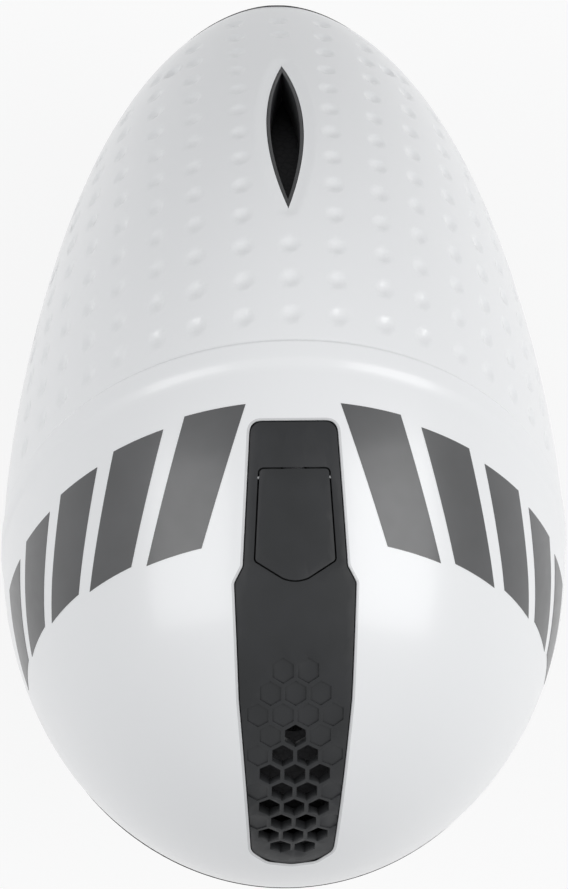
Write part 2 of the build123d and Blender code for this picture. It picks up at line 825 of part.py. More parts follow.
# Water door with two knuckles under its rear edge, and a seal that reaches under the panel round its gap
seal_top = panel_floor + FIXED_GAP
ahead_of_hinge = box_between(
    (-PANEL_SHOULDER_HALF, DOOR_NOSE_Y - PANEL_SHOULDER_HALF, 0),
    (PANEL_SHOULDER_HALF, hinge_y - HINGE_PIN_RADIUS - SEAT_GAP, CROWN_Z),
)
with BuildPart() as door_seal:
    seal_floor = seal_top + DOOR_SEAL_THICKNESS
    add(layer(upright_prism(door_outline(0)), PANEL_RECESS + DOOR_WALL - FIXED_GAP, seal_floor))
    add(layer(upright_prism(door_outline(DOOR_SEAL_WIDTH)), seal_top, seal_floor))
    add(upright_prism(door_outline(-DOOR_SEAL_WIDTH)), mode=Mode.SUBTRACT)
    add(ahead_of_hinge, mode=Mode.INTERSECT)

with BuildPart() as vent_door:
    add(layer(upright_prism(door_outline(0)), PANEL_RECESS, PANEL_RECESS + DOOR_WALL))
    add(door_seal.part)
    for side in (-1, 1):
        knuckle_in = side * HINGE_KNUCKLE_IN
        add(hinge_rod(HINGE_BARREL_RADIUS, knuckle_in, side * HINGE_KNUCKLE_OUT))
        web_low = (min(knuckle_in, side * HINGE_KNUCKLE_OUT), hinge_y - HINGE_BARREL_RADIUS, hinge_z)
        web_high = (
            max(knuckle_in, side * HINGE_KNUCKLE_OUT),
            hinge_y + HINGE_BARREL_RADIUS,
            hinge_z + HINGE_DEPTH - PANEL_RECESS - DOOR_WALL / 2,
        )
        add(box_between(web_low, web_high))
    bore = HINGE_PIN_RADIUS + RUNNING_GAP
    add(hinge_rod(bore, -HINGE_BOSS_IN, HINGE_BOSS_IN), mode=Mode.SUBTRACT)
finish(vent_door.part, "vent_door")

with BuildPart() as door_hinge_pin:
    pin_half = HINGE_BOSS_IN + HINGE_BOSS_LENGTH
    add(hinge_rod(HINGE_PIN_RADIUS - RUNNING_GAP / 4, -pin_half, pin_half))
    chamfer(edges(), HINGE_PIN_RADIUS / 4)
finish(door_hinge_pin.part, "door_hinge_pin")


# Leaf spring: its foot lies under the panel behind the door, its tongue holds the door up
with BuildPart() as door_spring:
    foot_y = PANEL_REAR_Y - PANEL_CORNER / 2
    knee_y = foot_y - SPRING_FOOT
    tongue_y = hinge_y - SPRING_REACH
    knee_z = surface_z(0, knee_y) - panel_floor - FIXED_GAP - SPRING_THICKNESS
    low_z = hinge_z - HINGE_BARREL_RADIUS - SPRING_THICKNESS - FIXED_GAP
    tongue_z = surface_z(0, tongue_y) - PANEL_RECESS - DOOR_WALL - SPRING_THICKNESS - FIXED_GAP
    with BuildSketch(Plane.YZ.offset(-SPRING_WIDTH / 2)):
        with BuildLine():
            line = Polyline(
                (foot_y, surface_z(0, foot_y) - panel_floor - FIXED_GAP - SPRING_THICKNESS),
                (knee_y, knee_z),
                (hinge_y, low_z),
                (tongue_y, tongue_z),
            )
            offset(line, amount=SPRING_THICKNESS / 2, side=Side.BOTH)
        make_face()
    extrude(amount=SPRING_WIDTH)
finish(door_spring.part, "door_spring")


# Tail duct: a lens-shaped tube that lines the tail vent
with BuildPart() as tail_duct:
    add(layer(slit_prism(-FIXED_GAP), DUCT_RECESS, DUCT_DEPTH))
    add(slit_prism(-FIXED_GAP - DUCT_WALL), mode=Mode.SUBTRACT)
finish(tail_duct.part, "tail_duct")


# Foam liner with the head space, air channel, throats and pockets
liner_top = SHELL_WALL + LINER_GAP
channel_box = box_between(
    (-CHANNEL_HALF_WIDTH, CHANNEL_FRONT_Y, 0), (CHANNEL_HALF_WIDTH, CHANNEL_REAR_Y, CROWN_Z + CUT_OVERRUN)
)
throat_box = box_between(
    (-THROAT_HALF_WIDTH, THROAT_FRONT_Y, CAVITY_HEIGHT / 2), (THROAT_HALF_WIDTH, THROAT_REAR_Y, CROWN_Z)
)
pocket_floor = panel_floor + SEAT_GAP
panel_pocket = layer(upright_prism(panel_outline(PANEL_FLANGE + SEAT_GAP)), 0, pocket_floor)
air_channel = layer(channel_box, 0, CHANNEL_DEPTH)
duct_pocket = layer(slit_prism(SEAT_GAP), 0, DUCT_DEPTH + SEAT_GAP)
dial_pocket = box_between(
    (-DIAL_POCKET_HALF, BELT_RADIUS, -SKIRT_DEPTH),
    (DIAL_POCKET_HALF, DIAL_POCKET_REAR, DIAL_POCKET_TOP),
    belt_plane,
)
guide_pocket = arc_wall(
    pivot_plane,
    CAVITY_HEIGHT / 2,
    GUIDE_OUTER_RADIUS + SEAT_GAP,
    GUIDE_START - SEAT_GAP,
    GUIDE_END + SEAT_GAP,
    -GUIDE_HALF_WIDTH - SEAT_GAP,
    GUIDE_HALF_WIDTH + SEAT_GAP,
)


def temple_rod(radius, start, end, side):
    """A rod along the temple pivots' line on one side of the head."""
    with BuildPart() as rod:
        with BuildSketch(pivot_plane.offset(side * start)):
            Circle(radius)
        extrude(amount=side * (end - start))
    return rod.part


with BuildPart() as tail_hollow:
    add(hull(TAIL_HOLLOW_WALL))
    rear_space = box_between(
        (-HALF_WIDTH, TAIL_HOLLOW_FRONT_Y, -SKIRT_DEPTH), (HALF_WIDTH, TAIL_REACH, CROWN_Z)
    )
    add(rear_space, mode=Mode.INTERSECT)

with BuildPart() as eps_liner:
    add(hull(liner_top))
    add(above_rim(LINER_EDGE_RISE), mode=Mode.INTERSECT)
    add(head_form(0), mode=Mode.SUBTRACT)
    add(ear_arch(), mode=Mode.SUBTRACT)
    add(tail_hollow.part, mode=Mode.SUBTRACT)
    add(air_channel, mode=Mode.SUBTRACT)
    add(throat_box, mode=Mode.SUBTRACT)
    add(panel_pocket, mode=Mode.SUBTRACT)
    add(duct_pocket, mode=Mode.SUBTRACT)
    add(dial_pocket, mode=Mode.SUBTRACT)
    add(guide_pocket, mode=Mode.SUBTRACT)
    for side in (-1, 1):
        plug_end = TEMPLE_WALL_X + TEMPLE_PLUG_DEPTH + SEAT_GAP
        add(temple_rod(TEMPLE_PLUG_RADIUS + SEAT_GAP, channel_outer, plug_end, side), mode=Mode.SUBTRACT)
    for place, height, _ in strap_places:
        plug_hole = anchor_rod(place, height, ANCHOR_RADIUS + SEAT_GAP, ANCHOR_PLUG_LENGTH + SEAT_GAP)
        add(plug_hole, mode=Mode.SUBTRACT)
        add(plug_hole.mirror(Plane.YZ), mode=Mode.SUBTRACT)
    port_planes = [Plane(surface_point(0, y), z_dir=surface_normal(0, y)) for y in BROW_PORT_YS]
    with BuildSketch(*port_planes):
        Circle(BROW_PORT_RADIUS)
    extrude(amount=-CAVITY_HEIGHT / 2, mode=Mode.SUBTRACT)
finish(eps_liner.part, "eps_liner")


def other_side(part):
    """The mirror image of a left-hand piece."""
    return part.mirror(Plane.YZ)


# Temple pivots: a plug in the liner, and a headed pin that the belt's slot rides on
with BuildPart() as temple_plug:
    add(temple_rod(TEMPLE_PLUG_RADIUS, TEMPLE_WALL_X, TEMPLE_WALL_X + TEMPLE_PLUG_DEPTH, 1))
    add(temple_rod(TEMPLE_BOSS_RADIUS, channel_outer, TEMPLE_WALL_X, 1))
    bore_end = TEMPLE_WALL_X + TEMPLE_PIN_DEPTH
    add(temple_rod(TEMPLE_PIN_RADIUS, channel_outer, bore_end, 1), mode=Mode.SUBTRACT)
finish(temple_plug.part, "temple_plug_left")
finish(other_side(temple_plug.part), "temple_plug_right")

with BuildPart() as temple_pin:
    add(temple_rod(TEMPLE_HEAD_RADIUS, yoke_outer - TEMPLE_HEAD_THICKNESS, yoke_outer, 1))
    pin_end = TEMPLE_WALL_X + TEMPLE_PIN_DEPTH - FIXED_GAP
    add(temple_rod(TEMPLE_PIN_RADIUS - RUNNING_GAP / 2, yoke_outer - TEMPLE_HEAD_THICKNESS / 2, pin_end, 1))
    chamfer(faces().sort_by(Axis.X)[0].edges(), TEMPLE_HEAD_THICKNESS / 3)
finish(temple_pin.part, "temple_pin_left")
finish(other_side(temple_pin.part), "temple_pin_right")


# Belts of the headband: a slotted band at the temple and a narrow rack at the nape
rack_root = PITCH_RADIUS + TOOTH_DEDENDUM
rack_back = rack_root + RACK_HEIGHT
tooth_pitch = 2 * pi * PITCH_RADIUS / PINION_TEETH
belt_middle = BELT_RADIUS + BELT_WALL / 2
tooth_angle = degrees(tooth_pitch / belt_middle)
slot_half = TEMPLE_PIN_RADIUS + RUNNING_GAP


def belt_wall(start, end, low, high):
    return arc_wall(belt_plane, BELT_RADIUS, BELT_RADIUS + BELT_WALL, start, end, low, high)


def rack_tooth(angle):
    """One tooth of the left belt's rack, pointing down at the pinion."""
    turn = radians(angle)
    inner = belt_plane.from_local_coords(Vector(cos(turn), sin(turn), 0) * BELT_RADIUS)
    outward = belt_plane.from_local_coords(Vector(cos(turn), sin(turn), 0)) - belt_plane.origin
    root_half = tooth_pitch * RACK_ROOT_SHARE / 2
    tip_half = tooth_pitch * TOOTH_TIP_SHARE / 2
    with BuildPart() as tooth:
        with BuildSketch(Plane(origin=inner, x_dir=belt_plane.z_dir, z_dir=outward)):
            with BuildLine():
                Polyline(
                    (rack_root + TOOTH_ADDENDUM, root_half),
                    (rack_root, root_half),
                    (PITCH_RADIUS - TOOTH_ADDENDUM, tip_half),
                    (PITCH_RADIUS - TOOTH_ADDENDUM, -tip_half),
                    (rack_root, -root_half),
                    (rack_root + TOOTH_ADDENDUM, -root_half),
                    close=True,
                )
            make_face()
        extrude(amount=BELT_WALL)
    return tooth.part


with BuildPart() as belt_left:
    add(belt_wall(BELT_START, BELT_BAND_END, -BELT_HALF_HEIGHT, BELT_HALF_HEIGHT))
    add(belt_wall(BELT_STEP_START, BELT_BAND_END, -BELT_HALF_HEIGHT, rack_back))
    add(belt_wall(BELT_STEP_START, BELT_END, rack_root, rack_back))
    for tooth in range(-RACK_TEETH_BEFORE, RACK_TEETH_AFTER + 1):
        add(rack_tooth(90 + tooth * tooth_angle))
    slot = arc_wall(
        belt_plane,
        BELT_RADIUS - BELT_WALL,
        BELT_RADIUS + 2 * BELT_WALL,
        SLOT_START,
        SLOT_END,
        -slot_half,
        slot_half,
    )
    add(slot, mode=Mode.SUBTRACT)
finish(belt_left.part, "belt_left")

# The right belt is the left one turned half round the dial's axis, so that its rack lies below the pinion
belt_right = belt_left.part.rotate(Axis(belt_plane.origin, belt_plane.y_dir), 180)
finish(belt_right, "belt_right")


def dial_plane(distance):
    """A plane square to the dial's axis, at a distance from the temple line."""
    return Plane(
        origin=belt_plane.from_local_coords((0, distance, 0)), x_dir=(1, 0, 0), z_dir=belt_plane.y_dir
    )


def dial_rod(radius, start, end):
    """A rod along the dial's axis."""
    with BuildPart() as rod:
        with BuildSketch(dial_plane(start)):
            Circle(radius)
        extrude(amount=end - start)
    return rod.part


# Rear cradle: a curved plate with two prongs under the skull, and the hanger that sets its height
with BuildPart() as cradle_view:
    with BuildSketch(dial_plane(yoke_inner / 2)):
        half = yoke_outer * cos(radians(YOKE_START))
        Rectangle(2 * half, 2 * YOKE_HALF_HEIGHT)
        for side in (-1, 1):
            prong_middle = side * yoke_outer * cos(radians((PRONG_START + PRONG_END) / 2))
            prong_width = yoke_outer * (cos(radians(PRONG_START)) - cos(radians(PRONG_END)))
            with Locations((prong_middle, YOKE_HALF_HEIGHT + PRONG_DROP / 2 - CRADLE_CORNER)):
                Rectangle(prong_width, PRONG_DROP + 2 * CRADLE_CORNER)
        fillet(vertices(), CRADLE_CORNER)
        for side in (-1, 1):
            window_middle = side * yoke_outer * cos(radians((YOKE_WINDOW_START + YOKE_WINDOW_END) / 2))
            window_width = yoke_outer * (cos(radians(YOKE_WINDOW_START)) - cos(radians(YOKE_WINDOW_END)))
            with Locations((window_middle, 0)):
                SlotOverall(2 * YOKE_WINDOW_HALF_HEIGHT, window_width, rotation=90, mode=Mode.SUBTRACT)
    extrude(amount=yoke_outer)

yoke_reach = YOKE_HALF_HEIGHT + PRONG_DROP + CRADLE_CORNER
with BuildPart() as rear_cradle:
    add(arc_wall(belt_plane, yoke_inner, yoke_outer, YOKE_START, 180 - YOKE_START, -yoke_reach, yoke_reach))
    add(cradle_view.part, mode=Mode.INTERSECT)
    hanger_foot = HANGER_FOOT_ANGLE - BELT_LEAN
    tab_half = degrees(HANGER_HALF_WIDTH / yoke_outer)
    tab_ends = (90 - tab_half, 90 + tab_half)
    tab_foot = YOKE_HALF_HEIGHT - SEAT_GAP
    add(arc_wall(belt_plane, yoke_inner, yoke_outer, *tab_ends, tab_foot, HANGER_TAB_TOP))
    add(
        arc_wall(
            pivot_plane,
            HANGER_RADIUS,
            HANGER_RADIUS + HANGER_WALL,
            hanger_foot,
            HANGER_TOP_ANGLE,
            -HANGER_HALF_WIDTH,
            HANGER_HALF_WIDTH,
        )
    )
    for hole in range(HANGER_HOLES):
        turn = radians(HANGER_TOP_ANGLE - HANGER_HOLE_PITCH * (hole + 1))
        outward = Vector(0, cos(turn), sin(turn))
        hole_start = belt_plane.origin + outward * yoke_inner
        with BuildSketch(Plane(origin=hole_start, x_dir=(1, 0, 0), z_dir=outward)):
            Circle(HANGER_HOLE_RADIUS)
        extrude(amount=HANGER_RADIUS, mode=Mode.SUBTRACT)
    shaft_hole = dial_rod(SHAFT_RADIUS + RUNNING_GAP, yoke_inner - YOKE_WALL, yoke_outer + YOKE_WALL)
    add(shaft_hole, mode=Mode.SUBTRACT)
finish(rear_cradle.part, "rear_cradle")


# Housing: it closes the rack channel behind the cradle and carries the dial
channel_half = YOKE_HALF_HEIGHT - HOUSING_RIB
with BuildPart() as dial_housing:
    ends = (HOUSING_START, 180 - HOUSING_START)
    add(arc_wall(belt_plane, yoke_outer, housing_outer, *ends, -YOKE_HALF_HEIGHT, YOKE_HALF_HEIGHT))
    add(
        arc_wall(belt_plane, yoke_outer - SEAT_GAP, channel_outer, 0, 180, -channel_half, channel_half),
        mode=Mode.SUBTRACT,
    )
    add(dial_rod(SHAFT_RADIUS + RUNNING_GAP, yoke_outer, housing_outer + YOKE_WALL), mode=Mode.SUBTRACT)
finish(dial_housing.part, "dial_housing")


# Dial: a pinion between the racks, a fluted knob and the screw that joins them
def pinion_outline():
    """Corners of the pinion, with a gap towards each rack at rest."""
    corners = []
    for tooth in range(PINION_TEETH):
        middle = 360 / PINION_TEETH * (tooth + 0.5) + 90
        for radius, share in (
            (PITCH_RADIUS - TOOTH_DEDENDUM, -PINION_ROOT_SHARE),
            (PITCH_RADIUS + TOOTH_ADDENDUM, -PINION_TIP_SHARE),
            (PITCH_RADIUS + TOOTH_ADDENDUM, PINION_TIP_SHARE),
            (PITCH_RADIUS - TOOTH_DEDENDUM, PINION_ROOT_SHARE),
        ):
            turn = radians(middle + 180 / PINION_TEETH * share)
            corners.append((radius * cos(turn), radius * sin(turn)))
    return corners


shaft_end = dial_start + SHAFT_SEAT
screw_seat = dial_end - SCREW_HEAD_HEIGHT - FIXED_GAP
with BuildPart() as dial_pinion:
    add(dial_rod(SHAFT_RADIUS, yoke_inner + FIXED_GAP, shaft_end))
    with BuildSketch(dial_plane(BELT_RADIUS)):
        with BuildLine():
            Polyline(*pinion_outline(), close=True)
        make_face()
    extrude(amount=BELT_WALL)
    add(dial_rod(SCREW_RADIUS + RUNNING_GAP / 2, belt_middle, shaft_end), mode=Mode.SUBTRACT)
finish(dial_pinion.part, "dial_pinion")

with BuildPart() as dial_knob:
    with BuildSketch(dial_plane(dial_start)):
        Circle(DIAL_RADIUS)
        with PolarLocations(DIAL_RADIUS, DIAL_FLUTES):
            Circle(DIAL_FLUTE_RADIUS, mode=Mode.SUBTRACT)
    extrude(amount=DIAL_THICKNESS)
    rear_edges = faces().sort_by(Axis(belt_plane.origin, belt_plane.y_dir))[-1].edges()
    chamfer(rear_edges, DIAL_EDGE)
    add(dial_rod(SHAFT_RADIUS + RUNNING_GAP / 2, dial_start, shaft_end), mode=Mode.SUBTRACT)
    add(dial_rod(SCREW_RADIUS + FIXED_GAP, dial_start, dial_end), mode=Mode.SUBTRACT)
    add(dial_rod(SCREW_HEAD_RADIUS + FIXED_GAP, screw_seat, dial_end), mode=Mode.SUBTRACT)
finish(dial_knob.part, "dial_knob")

with BuildPart() as dial_screw:
    add(dial_rod(SCREW_RADIUS, belt_middle + FIXED_GAP, screw_seat + FIXED_GAP))
    add(dial_rod(SCREW_HEAD_RADIUS, screw_seat, dial_end - FIXED_GAP))
    with BuildSketch(dial_plane(dial_end - FIXED_GAP)):
        RegularPolygon(SCREW_RADIUS, 6)
    extrude(amount=-SCREW_HEAD_HEIGHT / 2, mode=Mode.SUBTRACT)
finish(dial_screw.part, "dial_screw")


# Height guide: a bracket in the liner that the hanger slides through
with BuildPart() as height_guide:
    add(
        arc_wall(
            pivot_plane,
            GUIDE_INNER_RADIUS,
            GUIDE_OUTER_RADIUS,
            GUIDE_START,
            GUIDE_END,
            -GUIDE_HALF_WIDTH,
            GUIDE_HALF_WIDTH,
        )
    )
    slide_gap = SEAT_GAP
    add(
        arc_wall(
            pivot_plane,
            HANGER_RADIUS - slide_gap,
            HANGER_RADIUS + HANGER_WALL + slide_gap,
            GUIDE_START - GUIDE_END,
            2 * GUIDE_END,
            -HANGER_HALF_WIDTH - slide_gap,
            HANGER_HALF_WIDTH + slide_gap,
        ),
        mode=Mode.SUBTRACT,
    )
finish(height_guide.part, "height_guide")


def flat_bar(plane, start, end, width, low, high):
    """A flat bar between two places on a plane, with its faces at two heights."""
    along = Vector(end[0] - start[0], end[1] - start[1])
    middle = (start[0] + along.X / 2, start[1] + along.Y / 2)
    turn = degrees(atan2(along.Y, along.X))
    with BuildPart() as bar:
        with BuildSketch(plane.offset(low)):
            with Locations(Location((*middle, 0), (0, 0, turn))):
                Rectangle(along.length, width)
        extrude(amount=high - low)
    return bar.part


def side_strap(anchor_x, layer_height):
    """One side strap from its anchor to the divider."""
    tail_x = STRAP_TAIL_X if anchor_x > 0 else -STRAP_TAIL_X
    half = WEBBING_THICKNESS / 2
    ends = ((anchor_x, anchor_rise), (tail_x, STRAP_TAIL_Y))
    return flat_bar(strap_plane, *ends, WEBBING_WIDTH, layer_height - half, layer_height + half)


def strap_anchor(anchor_x, layer_height):
    """A clip that holds the strap's upper end, with a plug that is moulded into the liner."""
    tail_x = STRAP_TAIL_X if anchor_x > 0 else -STRAP_TAIL_X
    top = Vector(anchor_x, anchor_rise)
    along = (Vector(tail_x, STRAP_TAIL_Y) - top).normalized()
    low_end = top + along * STRAP_HOLD
    high_end = top - along * (ANCHOR_CLIP_HEIGHT - STRAP_HOLD)
    half = ANCHOR_CLIP_THICKNESS / 2
    slot = WEBBING_THICKNESS / 2 + FIXED_GAP
    ends = ((high_end.X, high_end.Y), (low_end.X, low_end.Y))
    slot_end = low_end + along * STRAP_HOLD
    slot_ends = ((top.X, top.Y), (slot_end.X, slot_end.Y))
    with BuildPart() as anchor:
        add(flat_bar(strap_plane, *ends, ANCHOR_CLIP_WIDTH, layer_height - half, layer_height + half))
        add(anchor_rod(anchor_x, layer_height, ANCHOR_RADIUS, ANCHOR_PLUG_LENGTH))
        add(anchor_rod(anchor_x, layer_height, half, -ANCHOR_DROP))
        slot_width = WEBBING_WIDTH + 2 * FIXED_GAP
        slot_bar = flat_bar(strap_plane, *slot_ends, slot_width, layer_height - slot, layer_height + slot)
        add(slot_bar, mode=Mode.SUBTRACT)
    return anchor.part


for place, height, name in strap_places:
    strap = side_strap(place, height)
    finish(strap, f"{name}_left")
    finish(other_side(strap), f"{name}_right")

with BuildPart() as strap_anchors:
    for place, height, _ in strap_places:
        anchor = strap_anchor(place, height)
        add(anchor)
        add(other_side(anchor))
finish(strap_anchors.part, "strap_anchors")


# Divider: a slotted plate below the ear with a cam lever that locks the straps
cheek_outer = DIVIDER_FOOT_HALF
cheek_inner = cheek_outer - CHEEK_WALL
with BuildPart() as divider:
    with BuildSketch(strap_plane.offset(DIVIDER_BACK)):
        with BuildLine():
            Polyline(
                (-DIVIDER_TOP_HALF, DIVIDER_TOP_Y),
                (DIVIDER_TOP_HALF, DIVIDER_TOP_Y),
                (DIVIDER_TOP_HALF, DIVIDER_WAIST_Y),
                (DIVIDER_FOOT_HALF, DIVIDER_FOOT_Y),
                (-DIVIDER_FOOT_HALF, DIVIDER_FOOT_Y),
                (-DIVIDER_TOP_HALF, DIVIDER_WAIST_Y),
                close=True,
            )
        make_face()
        fillet(vertices().group_by(Axis.Y)[-1], DIVIDER_WALL)
    extrude(amount=DIVIDER_WALL)
    bar_low = (-DIVIDER_TOP_HALF, DIVIDER_BAR_LOW, DIVIDER_FRONT - DIVIDER_WALL + FIXED_GAP)
    bar_high = (DIVIDER_TOP_HALF, DIVIDER_BAR_HIGH, DIVIDER_FRONT)
    add(box_between(bar_low, bar_high, strap_plane))
    for side in (-1, 1):
        post = sorted((side * DIVIDER_TOP_HALF, side * (DIVIDER_TOP_HALF - CHEEK_WALL)))
        cheek = sorted((side * cheek_outer, side * cheek_inner))
        post_low = (post[0], DIVIDER_BAR_LOW, DIVIDER_BACK)
        post_high = (post[1], DIVIDER_BAR_HIGH, DIVIDER_FRONT)
        add(box_between(post_low, post_high, strap_plane))
        cheek_low = (cheek[0], DIVIDER_FOOT_Y, DIVIDER_BACK)
        cheek_high = (cheek[1], DIVIDER_WAIST_Y - CHEEK_WALL, DIVIDER_FRONT)
        add(box_between(cheek_low, cheek_high, strap_plane))
    lever_line = Plane(
        origin=strap_plane.from_local_coords((0, LEVER_PIVOT_Y, LEVER_PIVOT_RISE)),
        x_dir=strap_plane.y_dir,
        z_dir=strap_plane.x_dir,
    )
    with BuildSketch(lever_line):
        Circle(LEVER_PIN_RADIUS + RUNNING_GAP)
    extrude(amount=DIVIDER_TOP_HALF, both=True, mode=Mode.SUBTRACT)
finish(divider.part, "divider_left")
finish(other_side(divider.part), "divider_right")

lever_half = cheek_inner - LEVER_SIDE_GAP
with BuildPart() as divider_lever:
    with BuildSketch(lever_line):
        Circle(LEVER_BARREL_RADIUS)
    extrude(amount=lever_half, both=True)
    with BuildSketch(lever_line):
        Circle(LEVER_PIN_RADIUS)
    extrude(amount=cheek_outer, both=True)
    lever_high = LEVER_PIVOT_RISE + LEVER_BARREL_RADIUS
    lever_corner = (lever_half, LEVER_PIVOT_Y, lever_high)
    add(box_between((-lever_half, DIVIDER_FOOT_Y, lever_high - LEVER_THICKNESS), lever_corner, strap_plane))
finish(divider_lever.part, "divider_lever_left")
finish(other_side(divider_lever.part), "divider_lever_right")


# Chin strap: two runs that lean forward from the dividers and meet in a rounded cradle under the chin
chin_turn = radians(CHIN_LEAN)
chin_top = strap_plane.from_local_coords((0, DIVIDER_FOOT_Y - CHIN_START_GAP, 0))
chin_plane = Plane(
    origin=(0, chin_top.Y, chin_top.Z), x_dir=(1, 0, 0), z_dir=(0, -cos(chin_turn), sin(chin_turn))
)
chin_start = Vector(chin_top.X, 0)
chin_corner = Vector(CHIN_HALF_WIDTH, -CHIN_DEPTH)
chin_along = (chin_corner - chin_start).normalized()
chin_out = Vector(-chin_along.Y, chin_along.X)


def chin_point(distance):
    """A place on the straight left run of the chin strap."""
    point = chin_start + chin_along * distance
    return (point.X, point.Y)


def ribbon(path_points, half_thickness, half_width, radius):
    """Webbing or a pad that follows a rounded path in the chin strap's plane."""
    with BuildPart() as band:
        with BuildSketch(chin_plane.offset(-half_width)):
            with BuildLine():
                path = FilletPolyline(*path_points, radius=radius)
                offset(path, amount=half_thickness, side=Side.BOTH)
            make_face()
        extrude(amount=2 * half_width)
    return band.part


buckle_plane = Plane(
    origin=chin_plane.from_local_coords(chin_start),
    x_dir=chin_plane.from_local_coords(chin_along) - chin_plane.origin,
    z_dir=chin_plane.from_local_coords(-chin_out) - chin_plane.origin,
)
female_end = FEMALE_START + FEMALE_LENGTH
male_start = female_end + SEAT_GAP
male_end = male_start + MALE_LENGTH
webbing_half = WEBBING_THICKNESS / 2
slot_half_width = WEBBING_WIDTH / 2 + FIXED_GAP
slot_half_thickness = webbing_half + FIXED_GAP


def buckle_box(start, end, half_width, half_thickness):
    """A box along the chin strap's left run, centred on the webbing."""
    low = (start, -half_width, -half_thickness)
    return box_between(low, (end, half_width, half_thickness), buckle_plane)


with BuildPart() as chin_strap_left:
    add(buckle_box(0, FEMALE_START + STRAP_HOLD, WEBBING_WIDTH / 2, webbing_half))
finish(chin_strap_left.part, "chin_strap_left")

far_corner = (-chin_corner.X, chin_corner.Y)
near_corner = (chin_corner.X, chin_corner.Y)
strap_end = chin_point(male_start + webbing_half + FIXED_GAP)
strap_route = ((-chin_start.X, 0), far_corner, near_corner, strap_end)
chin_strap_right = ribbon(strap_route, webbing_half, WEBBING_WIDTH / 2, CHIN_RADIUS)
finish(chin_strap_right, "chin_strap_right")

with BuildPart() as buckle_female:
    add(buckle_box(FEMALE_START, female_end, FEMALE_WIDTH / 2, FEMALE_THICKNESS / 2))
    fillet(edges().filter_by(Axis(buckle_plane.origin, buckle_plane.x_dir)), BUCKLE_EDGE)
    pocket_start = FEMALE_START + STRAP_HOLD + BUCKLE_WALL
    pocket_half = FEMALE_WIDTH / 2 - BUCKLE_WALL
    pocket_thick = FEMALE_THICKNESS / 2 - BUCKLE_WALL
    add(buckle_box(pocket_start, female_end, pocket_half, pocket_thick), mode=Mode.SUBTRACT)
    strap_slot_end = FEMALE_START + STRAP_HOLD + FIXED_GAP
    add(buckle_box(FEMALE_START, strap_slot_end, slot_half_width, slot_half_thickness), mode=Mode.SUBTRACT)
    window_start = pocket_start + BUCKLE_WALL
    window = buckle_box(window_start, window_start + WINDOW_LENGTH, FEMALE_WIDTH, PRONG_THICKNESS / 2)
    add(window, mode=Mode.SUBTRACT)
finish(buckle_female.part, "buckle_female")

with BuildPart() as buckle_male:
    add(buckle_box(male_start, male_end, MALE_WIDTH / 2, MALE_THICKNESS / 2))
    fillet(edges().filter_by(Axis(buckle_plane.origin, buckle_plane.x_dir)), BUCKLE_EDGE)
    prong_out = pocket_half - SEAT_GAP
    for side in (-1, 1):
        arm = sorted((side * prong_out, side * (prong_out - PRONG_WIDTH)))
        arm_low = (male_start - PRONG_LENGTH, arm[0], -PRONG_THICKNESS / 2)
        add(box_between(arm_low, (male_start + BUCKLE_WALL, arm[1], PRONG_THICKNESS / 2), buckle_plane))
    add(buckle_box(male_start, male_end, slot_half_width, slot_half_thickness), mode=Mode.SUBTRACT)
    bar_pitch = MALE_LENGTH / 2
    for bar in range(2):
        bar_start = male_start + BUCKLE_WALL + bar * (bar_pitch - BUCKLE_WALL / 2)
        rung_low = (bar_start, -slot_half_width, 0)
        rung_high = (bar_start + bar_pitch - 2 * BUCKLE_WALL, slot_half_width, MALE_THICKNESS)
        add(box_between(rung_low, rung_high, buckle_plane), mode=Mode.SUBTRACT)
finish(buckle_male.part, "buckle_male")

with BuildPart() as strap_keeper:
    keeper_end = KEEPER_START + KEEPER_LENGTH
    keeper_wide = slot_half_width + KEEPER_WALL
    add(buckle_box(KEEPER_START, keeper_end, keeper_wide, slot_half_thickness + KEEPER_WALL))
    add(buckle_box(KEEPER_START, keeper_end, slot_half_width, slot_half_thickness), mode=Mode.SUBTRACT)
finish(other_side(strap_keeper.part), "strap_keeper")

pad_start = chin_corner - chin_along * CHIN_PAD_REACH
pad_route = ((pad_start.X, pad_start.Y), near_corner, far_corner, (-pad_start.X, pad_start.Y))
with BuildPart() as chin_pad:
    add(ribbon(pad_route, CHIN_PAD_HALF_THICKNESS, CHIN_PAD_HALF_WIDTH, CHIN_RADIUS))
    add(ribbon(strap_route, slot_half_thickness, slot_half_width, CHIN_RADIUS), mode=Mode.SUBTRACT)
finish(chin_pad.part, "chin_pad")


# Comfort pads, each a crowned cushion lofted along the head space
def head_point(azimuth, elevation):
    """A point of the head space and its outward normal, by turns from the brow and from the headband."""
    a, e = radians(azimuth), radians(elevation)
    x = CAVITY_HALF_WIDTH * cos(e) * sin(a)
    y = -CAVITY_HALF_LENGTH * cos(e) * cos(a)
    z = CAVITY_HEIGHT * sin(e)
    normal = Vector(x / CAVITY_HALF_WIDTH**2, y / CAVITY_HALF_LENGTH**2, z / CAVITY_HEIGHT**2).normalized()
    return Vector(x, y + CAVITY_CENTRE_Y, z), normal


def cushion(places, half_width, half_thickness):
    """A pad lofted through places on a wall, each a point and its outward normal."""
    with BuildPart() as pad:
        for index, (point, normal) in enumerate(places):
            before = places[max(index - 1, 0)][0]
            after = places[min(index + 1, len(places) - 1)][0]
            along = after - before
            along = (along - normal * along.dot(normal)).normalized()
            share = PAD_END_SHARE * (2 * index / (len(places) - 1) - 1)
            swell = sqrt(1 - share**4)
            centre = point - normal * (PAD_GAP + half_thickness)
            with BuildSketch(Plane(origin=centre, x_dir=along.cross(normal), z_dir=along)):
                Ellipse(half_width * swell, half_thickness * swell)
        loft()
    return pad.part


def pad_shares():
    """Even shares from -1 to 1 along a pad."""
    return [2 * step / (PAD_STATIONS - 1) - 1 for step in range(PAD_STATIONS)]


